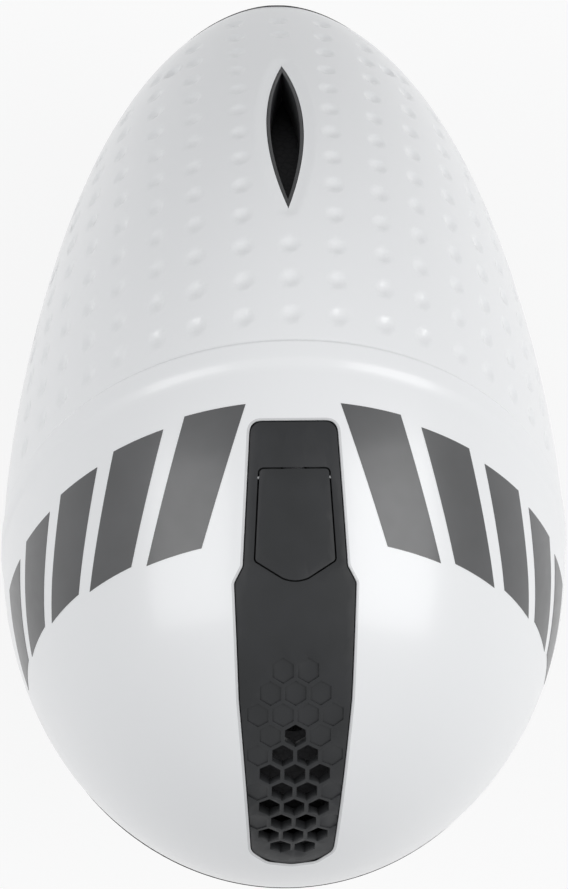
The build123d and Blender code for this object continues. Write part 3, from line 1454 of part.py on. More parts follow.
brow_places = [head_point(share * BROW_PAD_AZIMUTH, BROW_PAD_ELEVATION) for share in pad_shares()]
finish(cushion(brow_places, BROW_PAD_HALF_WIDTH, BROW_PAD_HALF_THICKNESS), "brow_pad")

top_places = []
for share in pad_shares():
    swing = radians(share * TOP_PAD_SWING)
    tilt = radians(TOP_PAD_TILT)
    aim = Vector(sin(tilt), cos(tilt) * sin(swing), cos(tilt) * cos(swing))
    azimuth = degrees(atan2(aim.X, -aim.Y))
    top_places.append(head_point(azimuth, degrees(asin(aim.Z))))
top_pad = cushion(top_places, TOP_PAD_HALF_WIDTH, TOP_PAD_HALF_THICKNESS)
finish(top_pad, "top_pad_left")
finish(other_side(top_pad), "top_pad_right")

side_places = [
    head_point(SIDE_PAD_AZIMUTH + share * SIDE_PAD_SWING, SIDE_PAD_ELEVATION) for share in pad_shares()
]
side_pad = cushion(side_places, SIDE_PAD_HALF_WIDTH, SIDE_PAD_HALF_THICKNESS)
finish(side_pad, "side_pad_left")
finish(other_side(side_pad), "side_pad_right")

cradle_places = []
for share in pad_shares():
    turn = radians(90 - share * (90 - CRADLE_PAD_START))
    outward = belt_plane.from_local_coords(Vector(cos(turn), sin(turn), 0)) - belt_plane.origin
    cradle_places.append((belt_plane.origin + outward * yoke_inner, outward))
finish(cushion(cradle_places, CRADLE_PAD_HALF_WIDTH, CRADLE_PAD_HALF_THICKNESS), "cradle_pad")


def ear_point(y):
    """A point on the ear cover's inner face and its outward normal."""
    step = HALF_WIDTH / 1000
    slope_y = (surface_x(y + step, EAR_PAD_Z) - surface_x(y - step, EAR_PAD_Z)) / (2 * step)
    slope_z = (surface_x(y, EAR_PAD_Z + step) - surface_x(y, EAR_PAD_Z - step)) / (2 * step)
    normal = Vector(1, -slope_y, -slope_z).normalized()
    return Vector(surface_x(y, EAR_PAD_Z), y, EAR_PAD_Z) - normal * SHELL_WALL, normal


ear_places = [ear_point(EAR_PAD_Y + share * EAR_PAD_HALF_LENGTH) for share in pad_shares()]
ear_pad = cushion(ear_places, EAR_PAD_HALF_WIDTH, EAR_PAD_HALF_THICKNESS)
finish(ear_pad, "ear_pad_left")
finish(other_side(ear_pad), "ear_pad_right")
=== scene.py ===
# %% [markdown]
# # An aero time trial helmet
# The CAD model fixes where everything is and how it moves. This lesson gives it its looks:
# a glossy moulded shell, a satin vent panel, bead foam, webbing and soft pads.
# We load the model first, and keep its box, because nothing we add may grow past it.

# %% Load the frame
from contextlib import contextmanager
from math import ceil, cos, pi, radians, sin, sqrt, tan

import bmesh
import bpy
import numpy as np
from mathutils import Matrix, Vector


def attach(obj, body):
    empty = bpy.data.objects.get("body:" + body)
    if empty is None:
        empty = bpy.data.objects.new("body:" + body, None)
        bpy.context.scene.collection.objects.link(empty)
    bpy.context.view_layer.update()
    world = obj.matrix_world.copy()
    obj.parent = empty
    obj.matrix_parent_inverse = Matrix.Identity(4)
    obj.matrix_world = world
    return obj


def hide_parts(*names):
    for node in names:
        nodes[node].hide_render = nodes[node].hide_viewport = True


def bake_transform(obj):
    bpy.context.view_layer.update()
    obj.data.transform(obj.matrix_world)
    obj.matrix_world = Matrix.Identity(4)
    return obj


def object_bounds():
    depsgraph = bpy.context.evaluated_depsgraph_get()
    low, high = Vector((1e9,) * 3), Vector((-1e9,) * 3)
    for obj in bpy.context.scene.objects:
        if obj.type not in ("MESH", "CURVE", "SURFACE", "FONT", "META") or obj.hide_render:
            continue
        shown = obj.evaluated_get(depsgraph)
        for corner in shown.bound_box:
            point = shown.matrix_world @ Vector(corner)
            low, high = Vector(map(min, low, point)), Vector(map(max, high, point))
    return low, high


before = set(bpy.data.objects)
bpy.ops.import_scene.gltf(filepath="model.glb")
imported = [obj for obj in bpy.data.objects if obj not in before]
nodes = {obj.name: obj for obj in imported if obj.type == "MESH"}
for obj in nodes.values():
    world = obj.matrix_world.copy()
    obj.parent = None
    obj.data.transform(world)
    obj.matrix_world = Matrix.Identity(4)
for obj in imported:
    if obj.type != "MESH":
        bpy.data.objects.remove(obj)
cad_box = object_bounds()
MM = 0.001
print("nodes:", len(nodes), "box in mm:", [round(v / MM) for v in cad_box[1] - cad_box[0]])

# %% [markdown]
# ## Camera
# The photograph looks straight down on the crown from far away. A long lens far off keeps the
# outline almost free of perspective. The camera leans a little to one side and is turned half a
# degree, because the crown line in the photograph is neither quite central nor quite upright.

# %% Camera over the crown
LOOK_POINT = Vector((0.5, 44.6, 5)) * MM
CAMERA_DISTANCE = 1500 * MM
VIEW_HEIGHT = 343.2 * MM
CAMERA_TILT = radians(1.8)
CAMERA_ROLL = radians(0.5)
SENSOR_HEIGHT = 36
FAR_CLIP = 20

camera = bpy.data.objects.new("camera", bpy.data.cameras.new("camera"))
bpy.context.scene.collection.objects.link(camera)
bpy.context.scene.camera = camera
backward = Vector((-sin(CAMERA_TILT), 0, cos(CAMERA_TILT)))
upward = Vector((sin(CAMERA_ROLL), cos(CAMERA_ROLL), 0))
rightward = upward.cross(backward).normalized()
upward = backward.cross(rightward)
camera.matrix_world = Matrix((
    (rightward.x, upward.x, backward.x, 0),
    (rightward.y, upward.y, backward.y, 0),
    (rightward.z, upward.z, backward.z, 0),
    (0, 0, 0, 1),
))
camera.location = LOOK_POINT + backward * CAMERA_DISTANCE
camera.data.sensor_fit = "VERTICAL"
camera.data.sensor_height = SENSOR_HEIGHT
camera.data.sensor_width = SENSOR_HEIGHT
camera.data.lens = SENSOR_HEIGHT * CAMERA_DISTANCE / VIEW_HEIGHT
camera.data.clip_end = FAR_CLIP
print("lens in mm:", round(camera.data.lens, 1))

# %% [markdown]
# ## Light
# White gloss plastic needs big soft lamps: their reflections are what tells the eye that it is
# gloss. One wide lamp stands over the right flank, a weaker one over the left, so the brow, the
# left flank and the tail fall away into grey as they do in the photograph. The world's soft grey
# only lights: seen directly, or in gloss, it is a white backdrop, which a Light Path node sorts out.

# %% World
SKY_STRENGTH = 0.38


def seen_rays(tree):
    """One where a ray comes from the camera, off gloss or through glass."""
    path = tree.nodes.new("ShaderNodeLightPath")
    total = path.outputs["Is Camera Ray"]
    for kind in ("Is Glossy Ray", "Is Transmission Ray"):
        more = tree.nodes.new("ShaderNodeMath")
        more.operation = "MAXIMUM"
        tree.links.new(total, more.inputs[0])
        tree.links.new(path.outputs[kind], more.inputs[1])
        total = more.outputs[0]
    return total


def mix_shaders(tree, share, first, second):
    """The first shader where the share is zero, and the second where it is one."""
    mix = tree.nodes.new("ShaderNodeMixShader")
    for number, source in enumerate((share, first, second)):
        tree.links.new(source, mix.inputs[number])
    return mix.outputs[0]


bpy.context.scene.view_settings.view_transform = "Standard"
world = bpy.data.worlds.new("studio")
bpy.context.scene.world = world
world.use_nodes = True
tree = world.node_tree
sky = tree.nodes["Background"]
sky.inputs["Color"].default_value = (0.95, 0.97, 1.0, 1)
sky.inputs["Strength"].default_value = SKY_STRENGTH
backdrop = tree.nodes.new("ShaderNodeBackground")
backdrop.inputs["Color"].default_value = (0.97, 0.97, 0.97, 1)
both = mix_shaders(tree, seen_rays(tree), sky.outputs[0], backdrop.outputs[0])
tree.links.new(both, tree.nodes["World Output"].inputs["Surface"])
print("world light:", SKY_STRENGTH)

# %% Lamps


def soft_lamp(name, place, size, power):
    """A square soft lamp that points at the helmet."""
    data = bpy.data.lights.new(name, "AREA")
    data.shape = "SQUARE"
    data.size = size
    data.energy = power
    lamp = bpy.data.objects.new(name, data)
    bpy.context.scene.collection.objects.link(lamp)
    lamp.location = place
    lamp.rotation_euler = (LOOK_POINT - Vector(place)).to_track_quat("-Z", "Y").to_euler()


soft_lamp("key_lamp", (1.3, 0.0, 1.2), size=1.3, power=16.5)
soft_lamp("side_lamp", (-1.2, 0.0, 1.15), size=1.1, power=10)

# %% [markdown]
# ## Floor
# The helmet hangs over a plain pale floor. Seen directly, or in gloss, the floor is almost white,
# which a Light Path node does without more light on the object. It still takes a soft shadow.

# %% Floor
FLOOR_GAP = 12 * MM
FLOOR_SIZE = 6
GLOW_SHARE = 0.85
floor_mesh = bpy.data.meshes.new("floor")
floor_z = cad_box[0].z - FLOOR_GAP
half = FLOOR_SIZE / 2
floor_mesh.from_pydata(
    [(-half, -half, floor_z), (half, -half, floor_z), (half, half, floor_z), (-half, half, floor_z)],
    [],
    [(0, 1, 2, 3)],
)
floor = bpy.data.objects.new("floor", floor_mesh)
bpy.context.scene.collection.objects.link(floor)
paper = bpy.data.materials.new("floor_paper")
paper.use_nodes = True
tree = paper.node_tree
matte = tree.nodes["Principled BSDF"]
matte.inputs["Base Color"].default_value = (0.9, 0.9, 0.9, 1)
matte.inputs["Roughness"].default_value = 1
glow = tree.nodes.new("ShaderNodeEmission")
glow.inputs["Color"].default_value = (1, 1, 1, 1)
share = tree.nodes.new("ShaderNodeMath")
share.operation = "MULTIPLY"
share.inputs[1].default_value = GLOW_SHARE
tree.links.new(seen_rays(tree), share.inputs[0])
mixed = mix_shaders(tree, share.outputs[0], matte.outputs[0], glow.outputs[0])
tree.links.new(mixed, tree.nodes["Material Output"].inputs["Surface"])
floor_mesh.materials.append(paper)
print("floor at", round(floor_z / MM), "mm")

# %% [markdown]
# ## Materials
# Every finish is a small node tree on one Principled shader. The pattern always comes from the
# piece's own coordinates in metres, so a grain keeps its real size on every piece. We need a few
# building blocks first: a new material, a noise, and a bump that reads it.

# %% Material helpers


def new_material(
        name, color, roughness, metallic=0.0, coat=0.0, coat_roughness=0.1, sheen=0.0, specular=0.5):
    """A material with plain values on the shader's own sockets."""
    material = bpy.data.materials.new(name)
    material.use_nodes = True
    shader = material.node_tree.nodes["Principled BSDF"]
    shader.inputs["Base Color"].default_value = (*color, 1)
    shader.inputs["Roughness"].default_value = roughness
    shader.inputs["Metallic"].default_value = metallic
    shader.inputs["Coat Weight"].default_value = coat
    shader.inputs["Coat Roughness"].default_value = coat_roughness
    shader.inputs["Sheen Weight"].default_value = sheen
    shader.inputs["Specular IOR Level"].default_value = specular
    return material


def place_node(material):
    """The piece's own coordinates in metres."""
    return material.node_tree.nodes.new("ShaderNodeTexCoord").outputs["Object"]


print("plain material helper ready")

# %% Noise, tint, gloss and bumps


def noise(material, size, detail=3.0, stretch=None):
    """A noise with blobs of one size in metres, which a stretch draws out along an axis."""
    tree = material.node_tree
    node = tree.nodes.new("ShaderNodeTexNoise")
    node.inputs["Scale"].default_value = 1 / size
    node.inputs["Detail"].default_value = detail
    source = place_node(material)
    if stretch:
        mapping = tree.nodes.new("ShaderNodeMapping")
        mapping.inputs["Scale"].default_value = stretch
        tree.links.new(source, mapping.inputs["Vector"])
        source = mapping.outputs["Vector"]
    tree.links.new(source, node.inputs["Vector"])
    return node.outputs["Fac"]


def vary_color(material, factor, dark, light, low=0.35, high=0.65):
    """Colours the material between two colours by a factor."""
    tree = material.node_tree
    ramp = tree.nodes.new("ShaderNodeValToRGB")
    ramp.color_ramp.elements[0].position = low
    ramp.color_ramp.elements[0].color = (*dark, 1)
    ramp.color_ramp.elements[1].position = high
    ramp.color_ramp.elements[1].color = (*light, 1)
    tree.links.new(factor, ramp.inputs["Fac"])
    tree.links.new(ramp.outputs["Color"], tree.nodes["Principled BSDF"].inputs["Base Color"])


def vary_roughness(material, factor, low, high):
    """Maps a factor to the material's roughness."""
    tree = material.node_tree
    ranger = tree.nodes.new("ShaderNodeMapRange")
    ranger.inputs["To Min"].default_value = low
    ranger.inputs["To Max"].default_value = high
    tree.links.new(factor, ranger.inputs["Value"])
    tree.links.new(ranger.outputs["Result"], tree.nodes["Principled BSDF"].inputs["Roughness"])


def add_bump(material, height, depth, strength=1.0, invert=False):
    """Bumps the surface by a height factor; depth is the real relief in metres. Bumps add up."""
    tree = material.node_tree
    shader = tree.nodes["Principled BSDF"]
    bump = tree.nodes.new("ShaderNodeBump")
    bump.inputs["Distance"].default_value = depth
    bump.inputs["Strength"].default_value = strength
    bump.invert = invert
    tree.links.new(height, bump.inputs["Height"])
    if shader.inputs["Normal"].links:
        tree.links.new(shader.inputs["Normal"].links[0].from_socket, bump.inputs["Normal"])
    tree.links.new(bump.outputs["Normal"], shader.inputs["Normal"])


print("helpers that vary a material ready")

# %% [markdown]
# ## The hard finishes
# The shell is thick white gloss: a bright base under a clear coat, with the faint waviness of
# moulded plastic. The panel is satin charcoal with a fine spark-eroded grain, and the small
# fittings are black nylon, with a gloss that varies a little from place to place.

# %% Hard materials


def moulded(name, color, roughness, tint=None, gloss=None, grain=None, **sockets):
    """A moulded finish; tint, gloss and grain each start with their size in millimetres."""
    material = new_material(name, color, roughness, **sockets)
    if tint:
        vary_color(material, noise(material, tint[0] * MM), *tint[1:])
    if gloss:
        vary_roughness(material, noise(material, gloss[0] * MM), *gloss[1:])
    if grain:
        size, depth, strength = grain
        add_bump(material, noise(material, size * MM, detail=2), depth * MM, strength=strength)
    return material


shell_white = moulded(
    "shell_white_gloss", (0.86, 0.865, 0.87), 0.34, gloss=(60, 0.27, 0.37), coat=0.4, coat_roughness=0.16)
add_bump(shell_white, noise(shell_white, 22 * MM, detail=1), 0.05 * MM, strength=0.5)
lip_grey = moulded("lip_pale_grey", (0.62, 0.625, 0.63), 0.36, gloss=(8, 0.3, 0.42), coat=0.4)
film_grey = moulded(
    "graphic_dark_grey", (0.06, 0.061, 0.063), 0.36,
    tint=(25, (0.054, 0.055, 0.057), (0.068, 0.069, 0.072)), gloss=(5, 0.3, 0.42),
    coat=0.35, coat_roughness=0.15)
panel_charcoal = moulded(
    "panel_charcoal", (0.027, 0.028, 0.03), 0.52, tint=(30, (0.024, 0.025, 0.026), (0.031, 0.032, 0.034)),
    gloss=(3, 0.42, 0.54), grain=(0.35, 0.03, 0.5), specular=0.22)
duct_black = moulded("duct_black", (0.03, 0.031, 0.033), 0.42, gloss=(3, 0.36, 0.5), grain=(0.4, 0.03, 0.4))
nylon_black = moulded(
    "nylon_black", (0.022, 0.022, 0.024), 0.45, tint=(6, (0.019, 0.019, 0.021), (0.029, 0.029, 0.031)),
    gloss=(2, 0.38, 0.55), grain=(0.3, 0.03, 0.5))
dial_grey = moulded(
    "dial_charcoal", (0.06, 0.062, 0.066), 0.55, tint=(5, (0.052, 0.054, 0.058), (0.07, 0.072, 0.076)),
    grain=(0.4, 0.05, 0.6))
guard_rubber = moulded(
    "guard_rubber", (0.018, 0.018, 0.019), 0.72, tint=(10, (0.015, 0.015, 0.016), (0.026, 0.026, 0.027)),
    gloss=(4, 0.62, 0.8), grain=(0.5, 0.04, 0.6))
print("moulded finishes:", len(bpy.data.materials))

# %% Steel
DRAWN = (0.05, 1, 1)

steel = new_material("drawn_steel", (0.6, 0.61, 0.62), 0.3, metallic=1)
vary_roughness(steel, noise(steel, 0.4 * MM, stretch=DRAWN), 0.22, 0.4)
add_bump(steel, noise(steel, 0.3 * MM, stretch=DRAWN), 0.01 * MM, strength=0.4)

# The leaf spring's steel is painted dark as painted shade, so that the slot behind the door reads dark and
# does not show a bright line of steel.
spring_steel_painted_shade = new_material("spring_steel_painted_shade", (0.2, 0.2, 0.21), 0.5, metallic=1)
vary_roughness(spring_steel_painted_shade, noise(spring_steel_painted_shade, 0.5 * MM, stretch=DRAWN), 0.42, 0.6)
print("drawn along x:", 1 / DRAWN[0], "times")

# %% [markdown]
# ## The soft and grainy finishes
# Bead foam shows its beads: each is a small flattened ball pressed against the next, which a
# Voronoi texture draws exactly; its colour is painted darker in the creases between beads, as
# painted shade. Webbing comes from waves that cross at a right angle, knit and spacer mesh from
# Voronoi cells, and their colour too is painted darker in the hollows: painted shade.

# %% Soft materials


def voronoi(material, size, feature="F1"):
    """Cells of one size in metres, or the distance to their edges."""
    tree = material.node_tree
    node = tree.nodes.new("ShaderNodeTexVoronoi")
    node.feature = feature
    node.inputs["Scale"].default_value = 1 / size
    tree.links.new(place_node(material), node.inputs["Vector"])
    return node


foam_black = new_material("bead_foam", (0.04, 0.04, 0.043), 0.8)
BEAD_SIZE = 3.2 * MM
bead = voronoi(foam_black, BEAD_SIZE)
bead_crease_shade = voronoi(foam_black, BEAD_SIZE, "DISTANCE_TO_EDGE").outputs["Distance"]
# Painted shade: the foam's colour darkens in the creases between beads, on top of the beads' real bump
# below.
vary_color(foam_black, bead_crease_shade, (0.018, 0.018, 0.019), (0.034, 0.034, 0.037), 0.0, 0.14)
add_bump(foam_black, bead.outputs["Distance"], 0.4 * MM, strength=0.4, invert=True)
print("bead size in mm:", round(BEAD_SIZE / MM, 1))

# %% Webbing, knit and spacer mesh
BAND_TURNS = 20


def weave(material, along, across, depth):
    """Yarns that cross: bands in the strip's own lengthwise and crosswise directions."""
    tree = material.node_tree
    uv = tree.nodes.new("ShaderNodeTexCoord").outputs["UV"]
    waves = []
    for direction, size in (("X", along), ("Y", across)):
        wave = tree.nodes.new("ShaderNodeTexWave")
        wave.bands_direction = direction
        wave.inputs["Scale"].default_value = 2 * pi / (BAND_TURNS * size)
        wave.inputs["Distortion"].default_value = 0.6
        wave.inputs["Detail"].default_value = 1
        tree.links.new(uv, wave.inputs["Vector"])
        waves.append(wave.outputs["Fac"])
    cross = tree.nodes.new("ShaderNodeMath")
    cross.operation = "MULTIPLY"
    tree.links.new(waves[0], cross.inputs[0])
    tree.links.new(waves[1], cross.inputs[1])
    add_bump(material, cross.outputs[0], depth, strength=0.9)
    return cross.outputs[0]


webbing_black = new_material("webbing_black", (0.022, 0.022, 0.024), 0.78, sheen=0.25)
yarns = weave(webbing_black, 1.1 * MM, 1.6 * MM, 0.25 * MM)
# Painted shade: the webbing's colour follows the weave's height, darker in the hollows between yarns than
# on their tops.
vary_color(webbing_black, yarns, (0.012, 0.012, 0.013), (0.04, 0.04, 0.043), 0.1, 0.8)

knit_grey = new_material("knit_dark_grey", (0.07, 0.072, 0.076), 0.9, sheen=0.5)
knit = voronoi(knit_grey, 0.9 * MM)
# Painted shade: the knit's colour darkens towards the edges of its loops, where the bump sinks.
vary_color(knit_grey, knit.outputs["Distance"], (0.11, 0.112, 0.118), (0.04, 0.041, 0.044), 0.1, 0.9)
add_bump(knit_grey, knit.outputs["Distance"], 0.2 * MM, strength=0.6, invert=True)
add_bump(knit_grey, noise(knit_grey, 7 * MM), 0.3 * MM, strength=0.4)

mesh_black = new_material("spacer_mesh", (0.03, 0.03, 0.032), 0.85, sheen=0.3)
pores = voronoi(mesh_black, 1.8 * MM)
# Painted shade: the spacer mesh is darkest in its pores, where the bump sinks into the holes.
vary_color(mesh_black, pores.outputs["Distance"], (0.008, 0.008, 0.009), (0.055, 0.055, 0.058), 0.15, 0.55)
add_bump(mesh_black, pores.outputs["Distance"], 0.4 * MM, strength=0.8)
print("materials:", len(bpy.data.materials))

# %% [markdown]
# ## The outer form
# The shell is one smooth form: at each place along the helmet a rounded section, wide and high in
# the middle, that closes at the brow and runs out into the low tail. Written as a formula, we can
# ask it for a point or a normal anywhere, and lay the panel, the films and the dimples on it.
# Sizes here are millimetres; they become metres when a mesh is made.

# %% Sizes of the form
HALF_WIDTH = 108.0
FRONT_REACH = 125.5
TAIL_REACH = 217.0
CROWN_Z = 138.0
GIRTH_Z = 5.0
TAIL_TIP_Z = -22.0
SKIRT_DEPTH = 150.0
TAIL_WIDTH_POWER = 1.09
TAIL_WIDTH_POWER_GAIN = 0.9
TAIL_TOP_POWER = 1.25
TAIL_TOP_POWER_GAIN = 0.42
TAIL_SKIRT_POWER = 1.1
SHELL_WALL = 2.0
FULL_REACH = 0.99999
SLOPE_STEP = 0.05


def unit(vectors):
    """The same directions with a length of one."""
    return vectors / np.linalg.norm(vectors, axis=-1, keepdims=True)


def station(y):
    """Half width, rise over the girth, girth level and skirt depth at places along the helmet."""
    y = np.asarray(y, float)
    along = np.clip(np.where(y > 0, y / TAIL_REACH, y / FRONT_REACH), -FULL_REACH, FULL_REACH)
    across = np.sqrt(1 - along**2)
    behind = y > 0
    back = np.where(behind, along, 0)
    width_power = np.where(behind, TAIL_WIDTH_POWER + TAIL_WIDTH_POWER_GAIN * (1 - back) ** 2, 1)
    girth = np.where(behind, GIRTH_Z + (TAIL_TIP_Z - GIRTH_Z) * back**2, GIRTH_Z)
    top_power = TAIL_TOP_POWER + TAIL_TOP_POWER_GAIN * back**3
    tail_top = TAIL_TIP_Z + (CROWN_Z - TAIL_TIP_Z) * across**top_power
    top = np.where(behind, tail_top, GIRTH_Z + (CROWN_Z - GIRTH_Z) * across)
    half = HALF_WIDTH * across**width_power
    skirt = SKIRT_DEPTH * across ** np.where(behind, TAIL_SKIRT_POWER, 1)
    return half, top - girth, girth, skirt


print("half width in mm where it is widest:", float(station(0.0)[0]))

# %% Points and normals of the form


def form_point(y, turn):
    """The form's point at a place along it and an angle down from the crown line."""
    half, rise, girth, skirt = station(y)
    tall = np.where(np.cos(turn) > 0, rise, skirt)
    return np.stack([half * np.sin(turn), y + 0 * turn, girth + tall * np.cos(turn)], -1)


def form_level(points):
    """1 on the form, less inside it and more outside."""
    half, rise, girth, skirt = station(points[..., 1])
    height = points[..., 2] - girth
    tall = np.where(height > 0, rise, skirt)
    return np.sqrt((points[..., 0] / half) ** 2 + (height / tall) ** 2)


def form_normal(points):
    """Outward normals of the form near points on it, from small steps each way."""
    slopes = []
    for axis in range(3):
        shift = np.zeros(3)
        shift[axis] = SLOPE_STEP
        slopes.append(form_level(points + shift) - form_level(points - shift))
    return unit(np.stack(slopes, -1))


def top_z(x, y):
    """Height of the form over a point of the plan."""
    half, rise, girth, _ = station(y)
    return girth + rise * np.sqrt(np.clip(1 - (x / half) ** 2, 0, 1))


def on_form(x, y, depth=0.0):
    """Points over a plan, a depth under the form along its normal."""
    points = np.stack([np.asarray(x, float), np.asarray(y, float), top_z(x, y)], -1)
    return points - form_normal(points) * np.asarray(depth, float)[..., None]


print("crown at", round(float(top_z(0.0, 0.0))), "mm, tail tip at", TAIL_REACH, "mm")

# %% [markdown]
# ## The rim
# Seen from the side the lower rim runs from the brow down in front of the ear, along the ear
# cover, and up again to the tail. Its corners are round. The soft edge strip covers the lowest
# few millimetres, so the shell stops above it.

# %% Rim line
CUT_OVERRUN = 20.0
RIM_CORNERS = (
    (-FRONT_REACH - CUT_OVERRUN, 17.0),
    (-108.0, 12.0),
    (-90.0, 3.0),
    (-72.0, -30.0),
    (-54.0, -64.0),
    (56.0, -64.0),
    (92.0, -44.0),
    (TAIL_REACH + CUT_OVERRUN, -20.5),
)
RIM_RADIUS = 16.0
GUARD_HEIGHT = 3.5
ARC_STEPS = 8
RUN_SHARE = 0.5


def corner_round(before, corner, after, radius, most, steps=ARC_STEPS):
    """Points that round a corner, over no more than a share of the runs beside it."""
    before, corner, after = Vector(before), Vector(corner), Vector(after)
    back, on = (before - corner).normalized(), (after - corner).normalized()
    bend = pi - back.angle(on)
    reach = min(radius * tan(bend / 2), most * (before - corner).length, most * (after - corner).length)
    start, end = corner + back * reach, corner + on * reach
    parts = [step / steps for step in range(steps + 1)]
    return [(1 - part) ** 2 * start + 2 * part * (1 - part) * corner + part**2 * end for part in parts]


def rounded(corners, radius):
    """An open line through corners, each but the first and last rounded off."""
    line = [Vector(corners[0])]
    for before, corner, after in zip(corners, corners[1:], corners[2:]):
        line += corner_round(before, corner, after, radius, RUN_SHARE)
    line.append(Vector(corners[-1]))
    return line


def rim_line(rise):
    """y and z of the rim, or of a line that follows it higher up."""
    line = rounded(RIM_CORNERS, RIM_RADIUS)
    ahead = [b - a for a, b in zip(line, line[1:])] + [line[-1] - line[-2]]
    raised = [p + Vector((-d.y, d.x)).normalized() * rise for p, d in zip(line, ahead)]
    return np.array([p.x for p in raised]), np.array([p.y for p in raised])


shell_rim = rim_line(GUARD_HEIGHT)
print("rim points:", len(shell_rim[0]))

# %% [markdown]
# ## Rows that follow the trip band
# A raised band crosses the shell where the smooth cap ends, and it leans: on the flanks it lies
# far ahead of its place on the crown. A grid with upright rows would cut it into steps, so the
# rows of our grid lean as it does, and stand up again towards the brow and the tail tip.

# %% Leaning rows
BAND_ANGLE = radians(32.6)
BAND_LEAN = tan(BAND_ANGLE)
BAND_REAR_Y = 81.5
LEAN_FULL = (20.0, 165.0)
LEAN_FADE = (-70.0, 214.0)
TURN_LIMIT = radians(123)
FINE_STEPS = 220
ROW_SEARCH = 260.0
ROW_HALVINGS = 40
END_HALVINGS = 50
END_MARGIN = 0.01
BROW_SEARCH_Y = -60.0
TAIL_SEARCH_Y = 150.0
TINY = 1e-6


def smooth(share):
    """A soft step from zero to one."""
    share = np.clip(share, 0, 1)
    return share * share * (3 - 2 * share)


def smooth_rate(share):
    """How fast the soft step rises."""
    share = np.clip(share, 0, 1)
    return 6 * share * (1 - share)


def lean_share(crown_y):
    """How far a row leans: fully round the band, and not at all at the ends."""
    front = smooth((crown_y - LEAN_FADE[0]) / (LEAN_FULL[0] - LEAN_FADE[0]))
    rear = smooth((LEAN_FADE[1] - crown_y) / (LEAN_FADE[1] - LEAN_FULL[1]))
    return front * rear


def leaning_row(crown_y, turn):
    """Points of leaning rows: the crown places and the angles down the side broadcast together."""
    crown_y, turn = np.broadcast_arrays(np.asarray(crown_y, float), turn)
    crown = top_z(0.0, crown_y)
    lean = BAND_LEAN * lean_share(crown_y)
    low, high = np.maximum(crown_y - ROW_SEARCH, -FRONT_REACH + END_MARGIN), crown_y.copy()
    for _ in range(ROW_HALVINGS):
        middle = (low + high) / 2
        over = middle - crown_y + lean * (crown - form_point(middle, turn)[..., 2]) > 0
        high = np.where(over, middle, high)
        low = np.where(over, low, middle)
    return form_point((low + high) / 2, turn)


print("the band leans", round(BAND_LEAN, 2), "mm forward for each mm down")

# %% Rows cut off at the rim


def distance_walked(points):
    """How far along the line each of its points lies."""
    return np.concatenate([[0], np.cumsum(np.linalg.norm(np.diff(points, axis=0), axis=1))])


def row_samples(crown_ys, rim):
    """For each row, fine samples from the crown down to the rim, with the distance walked."""
    turn = np.linspace(0, TURN_LIMIT, FINE_STEPS)
    fine = leaning_row(np.asarray(crown_ys, float)[:, None], turn[None, :])
    under = fine[..., 2] < np.interp(fine[..., 1], *rim)
    rows = []
    for points, below in zip(fine, under):
        last = int(np.argmax(below)) if below.any() else FINE_STEPS - 1
        if last == 0:
            rows.append((points[:1].repeat(2, 0), np.array([0, TINY])))
            continue
        a, b = points[last - 1], points[last]
        gap_a, gap_b = (p[2] - np.interp(p[1], *rim) for p in (a, b))
        end = a + (b - a) * (gap_a / max(gap_a - gap_b, TINY))
        kept = np.vstack([points[:last], end])
        rows.append((kept, distance_walked(kept)))
    return rows


def walk(row, distances):
    """Points of a row at distances from the crown line."""
    points, walked = row
    return np.stack([np.interp(distances, walked, points[:, k]) for k in range(3)], -1)


def crown_end(rim, low, high):
    """Where the crown line meets the rim, between two places."""
    for _ in range(END_HALVINGS):
        middle = (low + high) / 2
        middle_is_over = top_z(0.0, middle) > np.interp(middle, *rim)
        low_is_over = top_z(0.0, low) > np.interp(low, *rim)
        if middle_is_over == low_is_over:
            low = middle
        else:
            high = middle
    return middle


brow_end = crown_end(shell_rim, BROW_SEARCH_Y, -FRONT_REACH + END_MARGIN)
tail_end = crown_end(shell_rim, TAIL_SEARCH_Y, TAIL_REACH - END_MARGIN)
print("shell runs from", round(brow_end, 1), "to", round(tail_end, 1), "mm")

# %% [markdown]
# ## Relief: trip band, dimples and the dish round the tail vent
# What stands up from the form or sinks into it is one height field. We keep its slope too,
# because exact normals make the dimples read as soft round dishes even on a modest grid.

# %% Relief of the shell
BAND_WIDTH = 8.0
BAND_HEIGHT = 0.7
BAND_SOFT_FRONT = 5.0
BAND_EDGE = 1.3
DIMPLE_DEPTH = 1.0
DIMPLE_SPREAD = 4.1
DIMPLE_ROW_PITCH = 14.5
DIMPLE_COLUMN_PITCH = 17.0
DIMPLE_FIRST_ROW = 10.5
DIMPLE_ROWS = 13
DIMPLE_COLUMNS = 9
DIMPLE_LEAST_RISE = 9.0
SLIT_FRONT_Y = 134.0
SLIT_REAR_Y = 191.5
SLIT_HALF_WIDTH = 6.9
SLIT_MARGIN = 9.0
DISH_DEPTH = 0.9
DISH_SPREAD = 5.0
DISH_HALF_WIDTH = 20.0
DISH_ROOM = 25.0

band_top = np.array([0, BAND_REAR_Y, float(top_z(0.0, BAND_REAR_Y))])
band_normal = np.array([0, cos(BAND_ANGLE), -sin(BAND_ANGLE)])


def crown_walk(start_y, distance):
    """The y reached after walking a distance along the crown line."""
    steps = ceil(abs(distance))
    y = start_y
    for _ in range(steps):
        rise = float(top_z(0.0, y + distance / steps) - top_z(0.0, y))
        y += (distance / steps) / sqrt(1 + (rise * steps / distance) ** 2)
    return y


